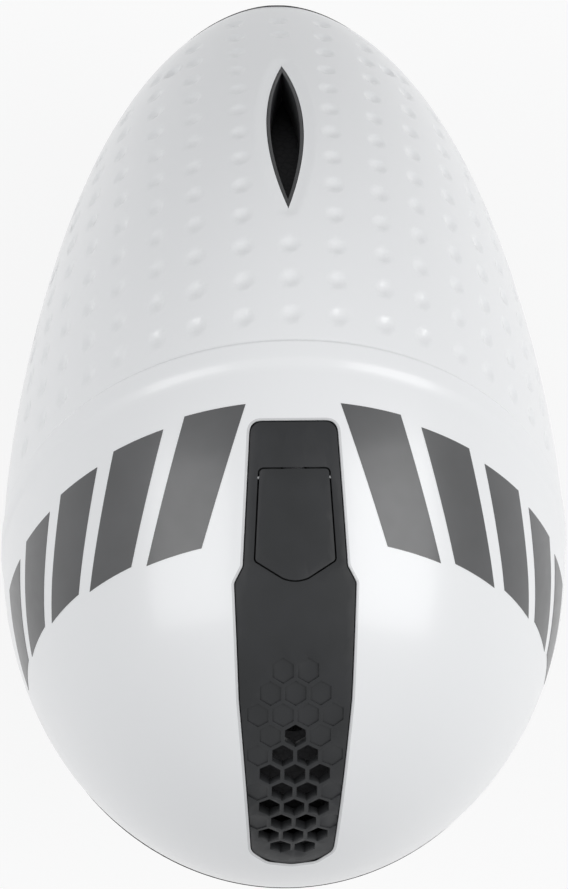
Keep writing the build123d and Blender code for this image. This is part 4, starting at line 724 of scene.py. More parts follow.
def dimple_centres():
    """Centres of all dimples on the form, in rows that lean as the band does."""
    places = []
    for number in range(DIMPLE_ROWS):
        crown_y = crown_walk(BAND_REAR_Y, DIMPLE_FIRST_ROW + number * DIMPLE_ROW_PITCH)
        x, y, z, walked = 0.0, crown_y, float(top_z(0.0, crown_y)), 0.0
        crown = z
        for column in range(DIMPLE_COLUMNS):
            while walked < column * DIMPLE_COLUMN_PITCH and x < float(station(y)[0]) - 1:
                new_y = crown_y - BAND_LEAN * (crown - float(top_z(x + 1, y)))
                new_z = float(top_z(x + 1, new_y))
                walked += sqrt(1 + (new_y - y) ** 2 + (new_z - z) ** 2)
                x, y, z = x + 1, new_y, new_z
            if walked < column * DIMPLE_COLUMN_PITCH:
                break
            near_slit = SLIT_FRONT_Y - SLIT_MARGIN < y < SLIT_REAR_Y + SLIT_MARGIN and x < SLIT_HALF_WIDTH
            if z < float(station(y)[2]) + DIMPLE_LEAST_RISE or near_slit:
                continue
            places += [(x, y), (-x, y)] if x > 0 else [(x, y)]
    x, y = np.array(places).T
    return on_form(x, y)


dimples = dimple_centres()
print("dimples:", len(dimples))

# %% Lens of the tail vent
slit_middle_y = (SLIT_FRONT_Y + SLIT_REAR_Y) / 2
slit_middle = on_form(np.array([0.0]), np.array([slit_middle_y]))[0]
slit_out = form_normal(slit_middle)
slit_along = np.cross(slit_out, [1, 0, 0])
slit_half_length = (SLIT_REAR_Y - SLIT_FRONT_Y) / 2 / slit_out[2]
slit_arc_radius = (slit_half_length**2 + SLIT_HALF_WIDTH**2) / (2 * SLIT_HALF_WIDTH)


def slit_distance(points):
    """Distance outside the lens of the tail vent, measured in its own plane, and its slope."""
    across = points[:, 0]
    along = (points - slit_middle) @ slit_along
    side = np.where(across >= 0, 1.0, -1.0)
    offset_x = np.abs(across) + slit_arc_radius - SLIT_HALF_WIDTH
    from_arc = np.hypot(offset_x, along) - slit_arc_radius
    arc_slope = unit((offset_x * side)[:, None] * np.array([1.0, 0, 0]) + along[:, None] * slit_along)
    past = np.abs(along) > slit_half_length
    tip = np.where(along > 0, 1.0, -1.0) * slit_half_length
    to_tip = across[:, None] * np.array([1.0, 0, 0]) + (along - tip)[:, None] * slit_along
    from_tip = np.linalg.norm(to_tip, axis=1)
    tip_slope = to_tip / np.maximum(from_tip, TINY)[:, None]
    return np.where(past, from_tip, from_arc), np.where(past[:, None], tip_slope, arc_slope)


print("tail vent is", round(2 * slit_half_length, 1), "mm long in its own plane")

# %% Height field


def band_relief(points):
    """Height and slope of the trip band: a soft front and a crisp rear edge."""
    behind_band = (points - band_top) @ band_normal
    up = (behind_band + BAND_WIDTH + BAND_SOFT_FRONT / 2) / BAND_SOFT_FRONT
    down = (BAND_EDGE / 2 - behind_band) / BAND_EDGE
    rate = smooth_rate(up) / BAND_SOFT_FRONT * smooth(down) - smooth_rate(down) / BAND_EDGE * smooth(up)
    return BAND_HEIGHT * smooth(up) * smooth(down), (BAND_HEIGHT * rate)[:, None] * band_normal


def press_dimples(points, height, slope):
    """Sinks the dimples into a height field and its slope."""
    tail = np.flatnonzero(points[:, 1] > 0)
    for centre in dimples:
        away = points[tail] - centre
        near = np.flatnonzero((np.abs(away) < DIMPLE_SPREAD).all(1))
        away, index = away[near], tail[near]
        share = (away**2).sum(1) / DIMPLE_SPREAD**2
        inside = share < 1
        share, away, index = share[inside], away[inside], index[inside]
        height[index] -= DIMPLE_DEPTH * (1 - share) ** 2
        slope[index] += (4 * DIMPLE_DEPTH * (1 - share) / DIMPLE_SPREAD**2)[:, None] * away


def press_dish(points, height, slope):
    """Sinks the dish round the tail vent into a height field and its slope."""
    beside = np.abs(points[:, 0]) < DISH_HALF_WIDTH
    near = np.flatnonzero((points[:, 1] > SLIT_FRONT_Y - DISH_ROOM) & beside & (points[:, 2] > 0))
    distance, direction = slit_distance(points[near])
    share = distance / DISH_SPREAD
    height[near] -= DISH_DEPTH * (1 - smooth(share))
    slope[near] += (DISH_DEPTH * smooth_rate(share) / DISH_SPREAD)[:, None] * direction


def relief(points):
    """Height over the form, and its slope, at points on the form."""
    height, slope = band_relief(points)
    press_dimples(points, height, slope)
    press_dish(points, height, slope)
    return height, slope


def finish_normals(points):
    """Normals of the form with its relief."""
    normal = form_normal(points)
    _, slope = relief(points)
    return unit(normal - (slope - (slope * normal).sum(1, keepdims=True) * normal))


print("band height in mm:", BAND_HEIGHT, "dimple depth:", DIMPLE_DEPTH)

# %% [markdown]
# ## Mesh helpers
# A piece starts as arrays of points and faces in millimetres. One helper turns them into a mesh in
# metres, another sets exact normals, and a third cuts one closed piece out of another.

# %% Mesh helpers


def new_piece(name, points, faces, *materials, smooth_faces=True):
    """A piece from points in millimetres."""
    mesh = bpy.data.meshes.new(name)
    places = [tuple(p) for p in np.asarray(points, float) * MM]
    mesh.from_pydata(places, [], [tuple(map(int, f)) for f in faces])
    mesh.validate()
    for material in materials:
        mesh.materials.append(material)
    mesh.polygons.foreach_set("use_smooth", [smooth_faces] * len(mesh.polygons))
    piece = bpy.data.objects.new(name, mesh)
    bpy.context.scene.collection.objects.link(piece)
    return piece


@contextmanager
def opened(mesh):
    """Opens a mesh for editing, and writes it back."""
    work = bmesh.new()
    work.from_mesh(mesh)
    yield work
    work.to_mesh(mesh)
    work.free()


def face_out(piece):
    """Turns all faces outward."""
    with opened(piece.data) as work:
        bmesh.ops.recalc_face_normals(work, faces=work.faces)


def apply_modifiers(piece):
    """Bakes the piece's modifiers into its mesh."""
    graph = bpy.context.evaluated_depsgraph_get()
    made = bpy.data.meshes.new_from_object(piece.evaluated_get(graph))
    old = piece.data
    piece.modifiers.clear()
    piece.data = made
    bpy.data.meshes.remove(old)
    made.name = piece.name


def cut(piece, cutter):
    """Takes one closed piece out of another."""
    modifier = piece.modifiers.new("cut", "BOOLEAN")
    modifier.object = cutter
    modifier.solver = "EXACT"
    bpy.context.view_layer.update()
    apply_modifiers(piece)
    bpy.data.objects.remove(cutter)


print("piece helpers ready")

# %% Faces of grids, tubes and slabs


def grid_faces(rows, columns, start=0, closed=False, flip=False):
    """Quads of a grid of points; closed joins the last column to the first."""
    faces = []
    for row in range(rows - 1):
        for column in range(columns if closed else columns - 1):
            following = (column + 1) % columns
            a, b = start + row * columns + column, start + row * columns + following
            quad = (a, b, b + columns, a + columns)
            faces.append(quad[::-1] if flip else quad)
    return faces


def tube_faces(rings, count, start=0):
    """Faces of a tube of rings, with a cap on each end."""
    last = start + (rings - 1) * count
    caps = [tuple(range(start, start + count))[::-1], tuple(range(last, last + count))]
    return grid_faces(rings, count, start=start, closed=True) + caps


def slab_faces(rows, columns):
    """Faces of a thin slab: a grid, the grid of its other side, and the edge between them."""
    count = rows * columns
    edge = [*range(columns)]
    edge += [columns * (k + 1) - 1 for k in range(1, rows)]
    edge += [count - 2 - k for k in range(columns - 1)]
    edge += [columns * k for k in range(rows - 2, 0, -1)]
    sides = [(a, a + count, b + count, b) for a, b in zip(edge, edge[1:] + edge[:1])]
    return grid_faces(rows, columns) + grid_faces(rows, columns, start=count, flip=True) + sides


def prism(name, low_loop, high_loop):
    """A closed piece between two loops of as many points."""
    faces = tube_faces(2, len(low_loop))
    piece = new_piece(name, np.vstack([low_loop, high_loop]), faces, smooth_faces=False)
    face_out(piece)
    return piece


print("a box has", len(tube_faces(2, 4)), "faces")

# %% Normals and points
FACE_AGREES = 0.6


def set_normals(piece, wanted, where):
    """Gives chosen vertices exact normals; the others keep the mesh's own."""
    mesh = piece.data
    loop_vertex = np.zeros(len(mesh.loops), np.int32)
    mesh.loops.foreach_get("vertex_index", loop_vertex)
    normals = np.zeros(len(mesh.loops) * 3, np.float32)
    mesh.corner_normals.foreach_get("vector", normals)
    normals = normals.reshape(-1, 3)
    face_of_loop = np.repeat(np.arange(len(mesh.polygons)), [p.loop_total for p in mesh.polygons])
    face_normals = np.zeros(len(mesh.polygons) * 3, np.float32)
    mesh.polygon_normals.foreach_get("vector", face_normals)
    face_normals = face_normals.reshape(-1, 3)[face_of_loop]
    exact = np.zeros((len(mesh.vertices), 3), np.float32)
    exact[where] = wanted
    chosen = np.zeros(len(mesh.vertices), bool)
    chosen[where] = True
    agree = (face_normals * exact[loop_vertex]).sum(1) > FACE_AGREES
    use = chosen[loop_vertex] & agree
    normals[use] = exact[loop_vertex][use]
    edge = chosen[loop_vertex] & ~agree
    normals[edge] = face_normals[edge]
    mesh.normals_split_custom_set([tuple(map(float, n)) for n in normals])


def points_of(piece):
    """The piece's vertices in millimetres."""
    flat = np.zeros(len(piece.data.vertices) * 3)
    piece.data.vertices.foreach_get("co", flat)
    return flat.reshape(-1, 3) / MM


print("normals helper ready")

# %% [markdown]
# ## Outlines of the panel and its door
# Both are plan outlines seen from above, symmetric about the middle, with rounded corners. The
# same outline, grown or shrunk a little, gives the shell's opening, its rolled lip and the panel.

# %% Plan outlines
PANEL_SIDE = (
    (15.4, 53.0, 4.5),
    (18.5, 1.8, 3.0),
    (21.6, -4.2, 3.0),
    (20.1, -46.0, 3.0),
    (15.2, -105.0, 4.5),
)
PANEL_NOSE = (9.0, -109.6)
PANEL_NOSE_Y = -110.8
LOOP_STEP = 1.2
SIDE_SHARE = 0.45


def rounded_loop(corners):
    """A closed loop of plan points through corners (x, y, radius)."""
    points = []
    for number, (x, y, radius) in enumerate(corners):
        before, after = corners[number - 1], corners[(number + 1) % len(corners)]
        points += corner_round(before[:2], (x, y), after[:2], radius, SIDE_SHARE)
    dense = []
    for a, b in zip(points, points[1:] + points[:1]):
        steps = max(1, ceil((b - a).length / LOOP_STEP))
        if (b - a).length > TINY:
            dense += [a + (b - a) * (step / steps) for step in range(steps)]
    return np.array([tuple(p) for p in dense])


def grown(loop, distance):
    """The loop moved outward by a distance."""
    ahead = np.roll(loop, -1, 0) - np.roll(loop, 1, 0)
    out = unit(np.stack([ahead[:, 1], -ahead[:, 0]], 1))
    area = (loop[:, 0] * np.roll(loop[:, 1], -1) - loop[:, 1] * np.roll(loop[:, 0], -1)).sum()
    return loop + out * distance * (1 if area > 0 else -1)


def mirrored(side, middle):
    """Corners of a symmetric outline: its right side from the rear, then the middle, then the left."""
    return [*side, *middle, *[(-x, y, r) for x, y, r in side[::-1]]]


nose = [(*PANEL_NOSE, 6.0), (0.0, PANEL_NOSE_Y, 12.0), (-PANEL_NOSE[0], PANEL_NOSE[1], 6.0)]
panel_loop = rounded_loop(mirrored(PANEL_SIDE, nose))
print("panel outline:", len(panel_loop), "points")

# %% [markdown]
# ## The shell
# Moulded in one piece, about two millimetres thick. We lay a fine grid on the leaning rows, raise
# and sink it by the relief, close it with a coarser inside and a rim, and then cut the two
# openings. The grid is close where the dimples are and wide where the cap is smooth, because
# points are only worth their cost where something happens.

# %% Rows of the shell
CAP_STEP = 4.2
BAND_STEP = 0.35
BAND_ROOM = 1.2
TAIL_STEP = 1.5
HALF_COLUMNS = 150
INNER_EVERY = 3
FRONT_ROOM = 8.0
END_STEP = 0.25
END_STEP_GAIN = 0.35
TRIAL_ROWS = 700
RIM_STEP_SHARE = 0.55


def row_step(crown_y):
    """How far apart the rows are at a crown place."""
    behind = (np.stack([0 * crown_y, crown_y, top_z(0.0, crown_y)], -1) - band_top) @ band_normal
    step = np.where(behind < -BAND_WIDTH - FRONT_ROOM, CAP_STEP, TAIL_STEP)
    step = np.where(np.abs(behind) < BAND_ROOM, BAND_STEP, step)
    ends = np.minimum(crown_y - brow_end, tail_end - crown_y)
    return np.minimum(step, END_STEP + END_STEP_GAIN * np.maximum(ends, 0))


def shell_rows():
    """Crown places of the rows, spaced by the wider of the crown's and the rim's steps."""
    tries = brow_end + (tail_end - brow_end) * (1 - np.cos(np.linspace(0, pi, TRIAL_ROWS))) / 2
    samples = row_samples(tries, shell_rim)
    rim_ends = np.array([points[-1] for points, _ in samples])
    crown = np.array([points[0] for points, _ in samples])
    crown_move = np.linalg.norm(np.diff(crown, axis=0), axis=1)
    rim_move = np.linalg.norm(np.diff(rim_ends, axis=0), axis=1)
    middle = (tries[1:] + tries[:-1]) / 2
    cost = np.maximum(crown_move, RIM_STEP_SHARE * rim_move) / row_step(middle)
    total = np.concatenate([[0], np.cumsum(cost)])
    count = INNER_EVERY * ceil(total[-1] / INNER_EVERY) + 1
    return np.interp(np.linspace(0, total[-1], count), total, tries)


crown_rows = shell_rows()
sampled_rows = row_samples(crown_rows, shell_rim)
print("rows:", len(crown_rows), "columns:", 2 * HALF_COLUMNS + 1)

# %% Shell mesh
WELD = 0.02 * MM


def shell_grid():
    """The outer grid on the form, left rim to right rim, row by row."""
    shares = np.linspace(0, 1, HALF_COLUMNS + 1)
    grid = []
    for row in sampled_rows:
        right = walk(row, shares * row[1][-1])
        left = right[:0:-1] * np.array([-1, 1, 1])
        grid.append(np.vstack([left, right]))
    return np.array(grid)


base_grid = shell_grid()
rows, columns = base_grid.shape[:2]
flat = base_grid.reshape(-1, 3)
lift, _ = relief(flat)
outer = flat + form_normal(flat) * lift[:, None]
inner_rows = np.arange(0, rows, INNER_EVERY)
inner_columns = np.arange(0, columns, INNER_EVERY)
inner_base = base_grid[np.ix_(inner_rows, inner_columns)]
inner = (inner_base - form_normal(inner_base) * SHELL_WALL).reshape(-1, 3)
inner_width = len(inner_columns)


def rim_faces():
    """Faces between the outer grid's edge and the coarser inner one, on both long sides."""
    faces = []
    first_inner = rows * columns
    for side, flip in ((0, False), (columns - 1, True)):
        inner_side = first_inner + (0 if side == 0 else inner_width - 1)
        for number in range(len(inner_rows) - 1):
            outer_edge = [(number * INNER_EVERY + k) * columns + side for k in range(INNER_EVERY + 1)]
            inner_edge = [inner_side + (number + k) * inner_width for k in (1, 0)]
            face = outer_edge + inner_edge
            faces.append(tuple(face[::-1] if flip else face))
    for row, inner_row, flip in ((0, 0, True), (rows - 1, len(inner_rows) - 1, False)):
        for number in range(inner_width - 1):
            outer_edge = [row * columns + number * INNER_EVERY + k for k in range(INNER_EVERY + 1)]
            inner_edge = [first_inner + inner_row * inner_width + number + k for k in (1, 0)]
            face = outer_edge + inner_edge
            faces.append(tuple(face[::-1] if flip else face))
    return faces


shell_faces = grid_faces(rows, columns)
shell_faces += grid_faces(len(inner_rows), inner_width, start=rows * columns, flip=True)
shell_faces += rim_faces()
shell = new_piece("shell", np.vstack([outer, inner]), shell_faces, shell_white, lip_grey)
with opened(shell.data) as work:
    bmesh.ops.remove_doubles(work, verts=work.verts, dist=WELD)
    bmesh.ops.recalc_face_normals(work, faces=work.faces)
    open_edges = sum(not e.is_manifold for e in work.edges)
print("shell faces:", len(shell.data.polygons), "open edges:", open_edges)

# %% [markdown]
# ## The shell's openings
# The vent panel's opening is a plain prism through the shell, grown by the width of the lip, and
# the tail vent is a lens. The lip that rolls down into the panel's gap is a ring of its own
# profile, laid round the opening and joined to the shell.

# %% Cut the openings
LIP_RADIUS = 1.0
LIP_DEPTH = 2.0
LIP_STEPS = 6
CUTTER_FLOOR = 20.0
SLIT_OUTSIDE = -12.0
SLIT_INSIDE = 22.0
LENS_STEPS = 41


def raised_prism(name, loop, low, high):
    """An upright prism over a plan loop."""
    return prism(name, np.c_[loop, np.full(len(loop), low)], np.c_[loop, np.full(len(loop), high)])


def slit_loop(depth):
    """The lens of the tail vent, at a depth along its own axis."""
    radius = slit_arc_radius
    half_turn = np.arctan2(slit_half_length, radius - SLIT_HALF_WIDTH)
    turn = np.linspace(-half_turn, half_turn, LENS_STEPS)
    right = np.c_[radius * np.cos(turn) - (radius - SLIT_HALF_WIDTH), radius * np.sin(turn)]
    lens = np.vstack([right, -right[1:-1]])
    centre = slit_middle - slit_out * depth
    return centre + lens[:, :1] * np.array([1.0, 0, 0]) + lens[:, 1:] * slit_along


cut(shell, raised_prism("panel_cutter", grown(panel_loop, LIP_RADIUS), CUTTER_FLOOR, CROWN_Z + CUT_OVERRUN))
cut(shell, prism("slit_cutter", slit_loop(SLIT_INSIDE), slit_loop(SLIT_OUTSIDE)))
print("shell faces after the cuts:", len(shell.data.polygons))

# %% Lip round the panel


def lip_profile():
    """How far outside the opening, and how deep under the form, each point of the lip's ring is."""
    quarter = np.linspace(0, pi / 2, LIP_STEPS)
    roll = [(LIP_RADIUS * (1 - sin(a)), LIP_RADIUS * (1 - cos(a))) for a in quarter]
    return [*roll, (0.0, LIP_DEPTH), (LIP_RADIUS, LIP_DEPTH)]


def lip_ring():
    """The lip as a closed ring of that profile."""
    rings = []
    for grow, depth in lip_profile():
        loop = grown(panel_loop, grow)
        rings.append(np.c_[loop, top_z(loop[:, 0], loop[:, 1]) - depth])
    count = len(panel_loop)
    faces = grid_faces(len(rings), count, closed=True)
    last = (len(rings) - 1) * count
    faces += [(last + k, last + (k + 1) % count, (k + 1) % count, k) for k in range(count)]
    ring = new_piece("lip", np.vstack(rings), faces, shell_white, lip_grey)
    face_out(ring)
    for face in ring.data.polygons:
        face.material_index = 1
    return ring


def join(piece, *others):
    """Joins other pieces into the first."""
    for chosen in bpy.context.selected_objects:
        chosen.select_set(False)
    for other in others:
        other.select_set(True)
    piece.select_set(True)
    bpy.context.view_layer.objects.active = piece
    bpy.ops.object.join()
    piece.select_set(False)


join(shell, lip_ring())
print("shell faces with its lip:", len(shell.data.polygons))

# %% Exact normals on the outside
SURFACE_ROOM = 0.35
LEAST_LEVEL = 0.1

shell_points = points_of(shell)
lift, _ = relief(shell_points)
level = form_level(shell_points)
girth_line = np.stack([0 * level, shell_points[:, 1], station(shell_points[:, 1])[2]], -1)
reach = np.linalg.norm(shell_points - girth_line, axis=1)
above = (level - 1) * reach / np.maximum(level, LEAST_LEVEL)
on_top = np.flatnonzero(np.abs(above - lift) < SURFACE_ROOM)
set_normals(shell, finish_normals(shell_points[on_top]), on_top)
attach(shell, "helmet")
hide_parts("outer_shell")
print("shell vertices with exact normals:", len(on_top), "of", len(shell_points))

# %% [markdown]
# ## Graphics on the flanks
# The flanks carry large dark films. Ours are a plain run of slanting blocks that shrink towards
# the front. Each block is a thin sheet laid on the form a tenth of a millimetre up, cut along the
# same leaning rows as the band, so its edges stay crisp and it bends with the shell.

# %% Slanting blocks
FILM_LIFT = 0.12
FILM_ROWS = (12.0, 60.0)
FILM_START = 34.0
FILM_PITCH = 31.0
FILM_WIDTH = 23.0
FILM_SLANT = 17.0
FILM_BLOCKS = 5
FILM_SHRINK = 0.09
FILM_STEPS = (16, 26)


def film_block(side, number):
    """One slanting block on one flank, counted from the crown down."""
    shrink = FILM_SHRINK * number
    half_room = (FILM_ROWS[1] - FILM_ROWS[0]) / 2
    low, high = FILM_ROWS[0] + shrink * half_room, FILM_ROWS[1] - shrink * half_room
    lengthwise = np.linspace(low, high, FILM_STEPS[1])
    start = FILM_START + number * FILM_PITCH
    points = []
    for row, crown_y in zip(row_samples(lengthwise, shell_rim), lengthwise):
        lean = FILM_SLANT * (crown_y - FILM_ROWS[0]) / (FILM_ROWS[1] - FILM_ROWS[0])
        across = start - lean + np.linspace(0, FILM_WIDTH, FILM_STEPS[0])
        points.append(walk(row, np.minimum(across, row[1][-1] - 1)))
    points = np.array(points).reshape(-1, 3)
    normals = form_normal(points)
    top = points + normals * FILM_LIFT
    bottom = points - normals * FILM_LIFT
    mirror = np.array([side, 1, 1])
    faces = slab_faces(FILM_STEPS[1], FILM_STEPS[0])
    piece = new_piece(f"film_{number}", np.vstack([top, bottom]) * mirror, faces, film_grey)
    face_out(piece)
    return piece


def flank_films(side, name):
    """All blocks of one flank as one piece."""
    blocks = [film_block(side, number) for number in range(FILM_BLOCKS)]
    piece = blocks[0]
    join(piece, *blocks[1:])
    piece.name = piece.data.name = name
    points = points_of(piece)
    set_normals(piece, form_normal(points), np.arange(len(points)))
    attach(piece, "helmet")


for side, name in ((1, "flank_film_right"), (-1, "flank_film_left")):
    flank_films(side, name)
print("blocks:", 2 * FILM_BLOCKS)

# %% [markdown]
# ## Moulded parts straight from the model
# The panel, the door, the duct and the small fittings already have the right shape. Real mouldings
# never have razor edges, though, so we take a copy of each mesh, melt its flat triangles together,
# and bevel what is sharp. The copy stands for the original, which stays untouched.

# %% Softened copies
NODE_WELD = 0.001 * MM
FLAT_ANGLE = radians(1.5)
SHARP_ANGLE = radians(35)


def soften(node, body, material, width):
    """A copy of a node with its sharp edges rounded a little; it rides on a body if one is named."""
    mesh = nodes[node].data.copy()
    mesh.materials.clear()
    mesh.materials.append(material)
    with opened(mesh) as work:
        bmesh.ops.remove_doubles(work, verts=work.verts, dist=NODE_WELD)
        bmesh.ops.dissolve_limit(work, angle_limit=FLAT_ANGLE, verts=work.verts, edges=work.edges)
    piece = bpy.data.objects.new(node + "_moulded", mesh)
    bpy.context.scene.collection.objects.link(piece)
    bevel = piece.modifiers.new("edges", "BEVEL")
    bevel.width = width * MM
    bevel.segments = 2
    bevel.limit_method = "ANGLE"
    bevel.angle_limit = SHARP_ANGLE
    bevel.use_clamp_overlap = True
    bevel.harden_normals = True
    apply_modifiers(piece)
    piece.data.polygons.foreach_set("use_smooth", [True] * len(piece.data.polygons))
    if body:
        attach(piece, body)
    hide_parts(node)
    return piece


def paint(node, material):
    """Gives a model node its finish where its own shape is kept."""
    nodes[node].data.materials.clear()
    nodes[node].data.materials.append(material)


soften("vent_panel", "helmet", panel_charcoal, 0.15)
soften("vent_door", "door", panel_charcoal, 0.25)
soften("tail_duct", "helmet", duct_black, 0.3)

MOULDED = (
    ("helmet", "black_plastic", nylon_black, 0.35, (
        "temple_plug_left", "temple_plug_right", "temple_pin_left", "temple_pin_right", "height_guide",
        "strap_anchors", "divider_left", "divider_right", "buckle_female")),
    ("helmet", "black_trim", guard_rubber, 0.45, ("strap_keeper",)),
    ("cradle", "black_plastic", nylon_black, 0.4, ("rear_cradle", "dial_housing")),
    ("belt_left", "black_plastic", nylon_black, 0.25, ("belt_left",)),
    ("belt_right", "black_plastic", nylon_black, 0.25, ("belt_right",)),
    ("dial", "charcoal_plastic", dial_grey, 0.3, ("dial_knob",)),
    ("lever_left", "charcoal_plastic", dial_grey, 0.3, ("divider_lever_left",)),
    ("lever_right", "charcoal_plastic", dial_grey, 0.3, ("divider_lever_right",)),
    ("buckle", "black_plastic", nylon_black, 0.35, ("buckle_male",)),
)
for body, slot, material, width, group in MOULDED:
    for node in group:
        soften(node, body, material, width)

# %% [markdown]
# ## Strip under the hinge, a sheet of painted shade
# The gap round the door would show the floor at the hinge, where the seal has to stop for the
# pin. A bent strip in the black rubber finish hangs below it between the two hinge bosses and
# closes that view; it is painted shade, a dark sheet standing in for the shade inside the helmet.

# %% Hinge strip
STRIP_STEPS = ((16.2, -1.8), (15.2, -1.8), (13.6, -4.0))
HINGE_STRIP_WALL = 0.5
HINGE_STRIP_AHEAD = 2.6
HINGE_STRIP_BEHIND = 4.8

pin = nodes["door_hinge_pin"]
hinge = np.array([pin.matrix_world @ Vector(corner) for corner in pin.bound_box]).mean(0) / MM
left_part = [(-x, hinge[2] + z) for x, z in STRIP_STEPS]
upper = left_part + [(-x, z) for x, z in reversed(left_part)]
section = upper + [(x, z - HINGE_STRIP_WALL) for x, z in reversed(upper)]
ends = [[(x, hinge[1] + away, z) for x, z in section] for away in (-HINGE_STRIP_AHEAD, HINGE_STRIP_BEHIND)]
# A dark sheet of painted shade under the door's gap at the hinge.
hinge_shade_strip = prism("hinge_shade_strip", *ends)
hinge_shade_strip.data.materials.append(guard_rubber)
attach(hinge_shade_strip, "helmet")
print("hinge strip spans", round(hinge_shade_strip.dimensions.x / MM, 1), "mm")

# %% [markdown]
# ## Leaf spring
# The leaf holds the door up, and bends when a spout presses the door in. We cut it across in many
# places, so that it has points to bend at, and bake its place into its mesh; it is not blended or
# tied to a body, so it does not follow the door.

# %% Leaf spring
SPRING_CUTS = 14

# The leaf takes the dark steel that paints shade into the slot behind the door.
leaf = soften("door_spring", None, spring_steel_painted_shade, 0.08)
tip_y = points_of(leaf)[:, 1].min()
with opened(leaf.data) as work:
    for place in np.linspace(tip_y, hinge[1], SPRING_CUTS + 2)[1:-1]:
        geometry = work.verts[:] + work.edges[:] + work.faces[:]
        bmesh.ops.bisect_plane(work, geom=geometry, plane_co=(0, place * MM, 0), plane_no=(0, 1, 0))
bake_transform(leaf)
print("leaf spring reaches", round(hinge[1] - tip_y, 1), "mm ahead of the hinge")

# %% [markdown]
# ## Webbing
# The side straps and the chin strap are flat woven polyester, fifteen millimetres wide. A flat
# strap is modelled directly: a rounded section with two raised selvedges, swept along its route.
# Its UV map is in metres, lengthwise and crosswise, so the weave runs with the strap everywhere.

# %% Strap section
WEBBING_WIDTH = 15.0
WEBBING_THICKNESS = 1.2
SELVEDGE_WIDTH = 1.4
SELVEDGE_RISE = 0.18
SELVEDGE_CREST_SHARE = 0.7
SELVEDGE_SPREAD_SHARE = 0.4
SECTION_HALF_SHARES = (0.4, 0.78, 0.82, 0.9, 0.95, 0.985, 1)
SELVEDGE_END_SHARE = 0.98


def strip_section():
    """Crosswise place and height of the points round a strap's section."""
    half, flat_half = WEBBING_WIDTH / 2, WEBBING_THICKNESS / 2
    across = np.array([*[-share for share in reversed(SECTION_HALF_SHARES)], 0, *SECTION_HALF_SHARES])
    out = np.abs(across) * half
    edge = np.sqrt(np.clip(1 - ((out - (half - flat_half)) / flat_half) ** 2, 0, 1))
    height = np.where(out > half - flat_half, edge, 1) * flat_half
    from_crest = out - (half - SELVEDGE_WIDTH * SELVEDGE_CREST_SHARE)
    ridge = np.exp(-((from_crest / (SELVEDGE_WIDTH * SELVEDGE_SPREAD_SHARE)) ** 2))
    height = height - SELVEDGE_RISE * (1 - ridge) * (np.abs(across) < SELVEDGE_END_SHARE)
    top = np.c_[across * half, height]
    return np.vstack([top, (top * [1, -1])[-2:0:-1]])


print("strap section points:", len(strip_section()))

# %% Strips of webbing
STRIP_STEP = 1.5


def resampled(line, step):
    """A line of points with even spacing near a step."""
    line = np.asarray(line, float)
    walked = distance_walked(line)
    count = max(2, ceil(walked[-1] / step) + 1)
    at = np.linspace(0, walked[-1], count)
    return np.stack([np.interp(at, walked, line[:, k]) for k in range(3)], 1), at


def strip(name, line, across):
    """A strap along a line of points; across is the direction of its width."""
    line, walked = resampled(line, STRIP_STEP)
    ahead = unit(np.gradient(line, axis=0))
    across = np.broadcast_to(np.asarray(across, float), line.shape)
    up = unit(np.cross(ahead, across))
    section = strip_section()
    count = len(section)
    points = line[:, None] + section[None, :, :1] * across[:, None] + section[None, :, 1:] * up[:, None]
    faces = tube_faces(len(line), count)
    piece = new_piece(name, points.reshape(-1, 3), faces, webbing_black, thread_grey)
    layer = piece.data.uv_layers.new(name="weave")
    lengthwise = np.repeat(walked, count) * MM
    crosswise = np.tile(section[:, 0], len(line)) * MM
    for loop in piece.data.loops:
        layer.data[loop.index].uv = (lengthwise[loop.vertex_index], crosswise[loop.vertex_index])
    face_out(piece)
    return piece


print("strap steps are", STRIP_STEP, "mm long")

# %% Thread
STITCH_SHAPE = ((0.0, 0.35), (0.2, 0.9), (0.5, 1.0), (0.8, 0.9), (1.0, 0.35))
STITCH_SIDES = 6
STITCH_SINK = 0.05
STITCH_BULGE_SHARE = 0.6
SEAM_SAMPLE = 0.25
PAD_STITCH = {"pitch": 3.0, "length": 1.9, "radius": 0.2}

thread_grey = new_material("thread_grey", (0.16, 0.162, 0.168), 0.7, sheen=0.3)
vary_color(thread_grey, noise(thread_grey, 1.5 * MM), (0.12, 0.122, 0.127), (0.2, 0.202, 0.208))
add_bump(thread_grey, noise(thread_grey, 0.2 * MM), 0.03 * MM)


def stitches(line, up, pitch=2.2, length=1.5, radius=0.22):
    """Thread stitches along a line on a surface, with one upward direction or one for each point."""
    up = np.broadcast_to(np.asarray(up, float), (len(line), 3))
    line, walked = resampled(line, SEAM_SAMPLE)
    places, given = np.linspace(0, 1, len(line)), np.linspace(0, 1, len(up))
    up = np.stack([np.interp(places, given, up[:, k]) for k in range(3)], 1)
    points, faces = [], []
    for start in np.arange(pitch / 2, walked[-1] - length, pitch):
        a, b = (np.array([np.interp(start + d, walked, line[:, k]) for k in range(3)]) for d in (0, length))
        lift = np.array([np.interp(start, walked, up[:, k]) for k in range(3)])
        ahead = (b - a) / np.linalg.norm(b - a)
        side = np.cross(ahead, lift)
        first = len(points)
        for share, size in STITCH_SHAPE:
            centre = a + (b - a) * share + lift * (radius * (size - STITCH_BULGE_SHARE) - STITCH_SINK)
            for turn in np.linspace(0, 2 * pi, STITCH_SIDES, endpoint=False):
                points.append(centre + radius * size * (cos(turn) * side + sin(turn) * lift))
        faces += tube_faces(len(STITCH_SHAPE), STITCH_SIDES, start=first)
    piece = new_piece("stitches", points, faces, webbing_black, thread_grey)
    for face in piece.data.polygons:
        face.material_index = 1
    face_out(piece)
    return piece


print("points in a stitch:", len(STITCH_SHAPE) * STITCH_SIDES)

# %% [markdown]
# ## Side straps
# The model's own straps are plain bars, so we read where each lies from its corners: the long,
# wide and thin directions of the bar. The woven strap goes exactly there, with a box of stitches
# below the clip that holds its upper end.

# %% Side straps


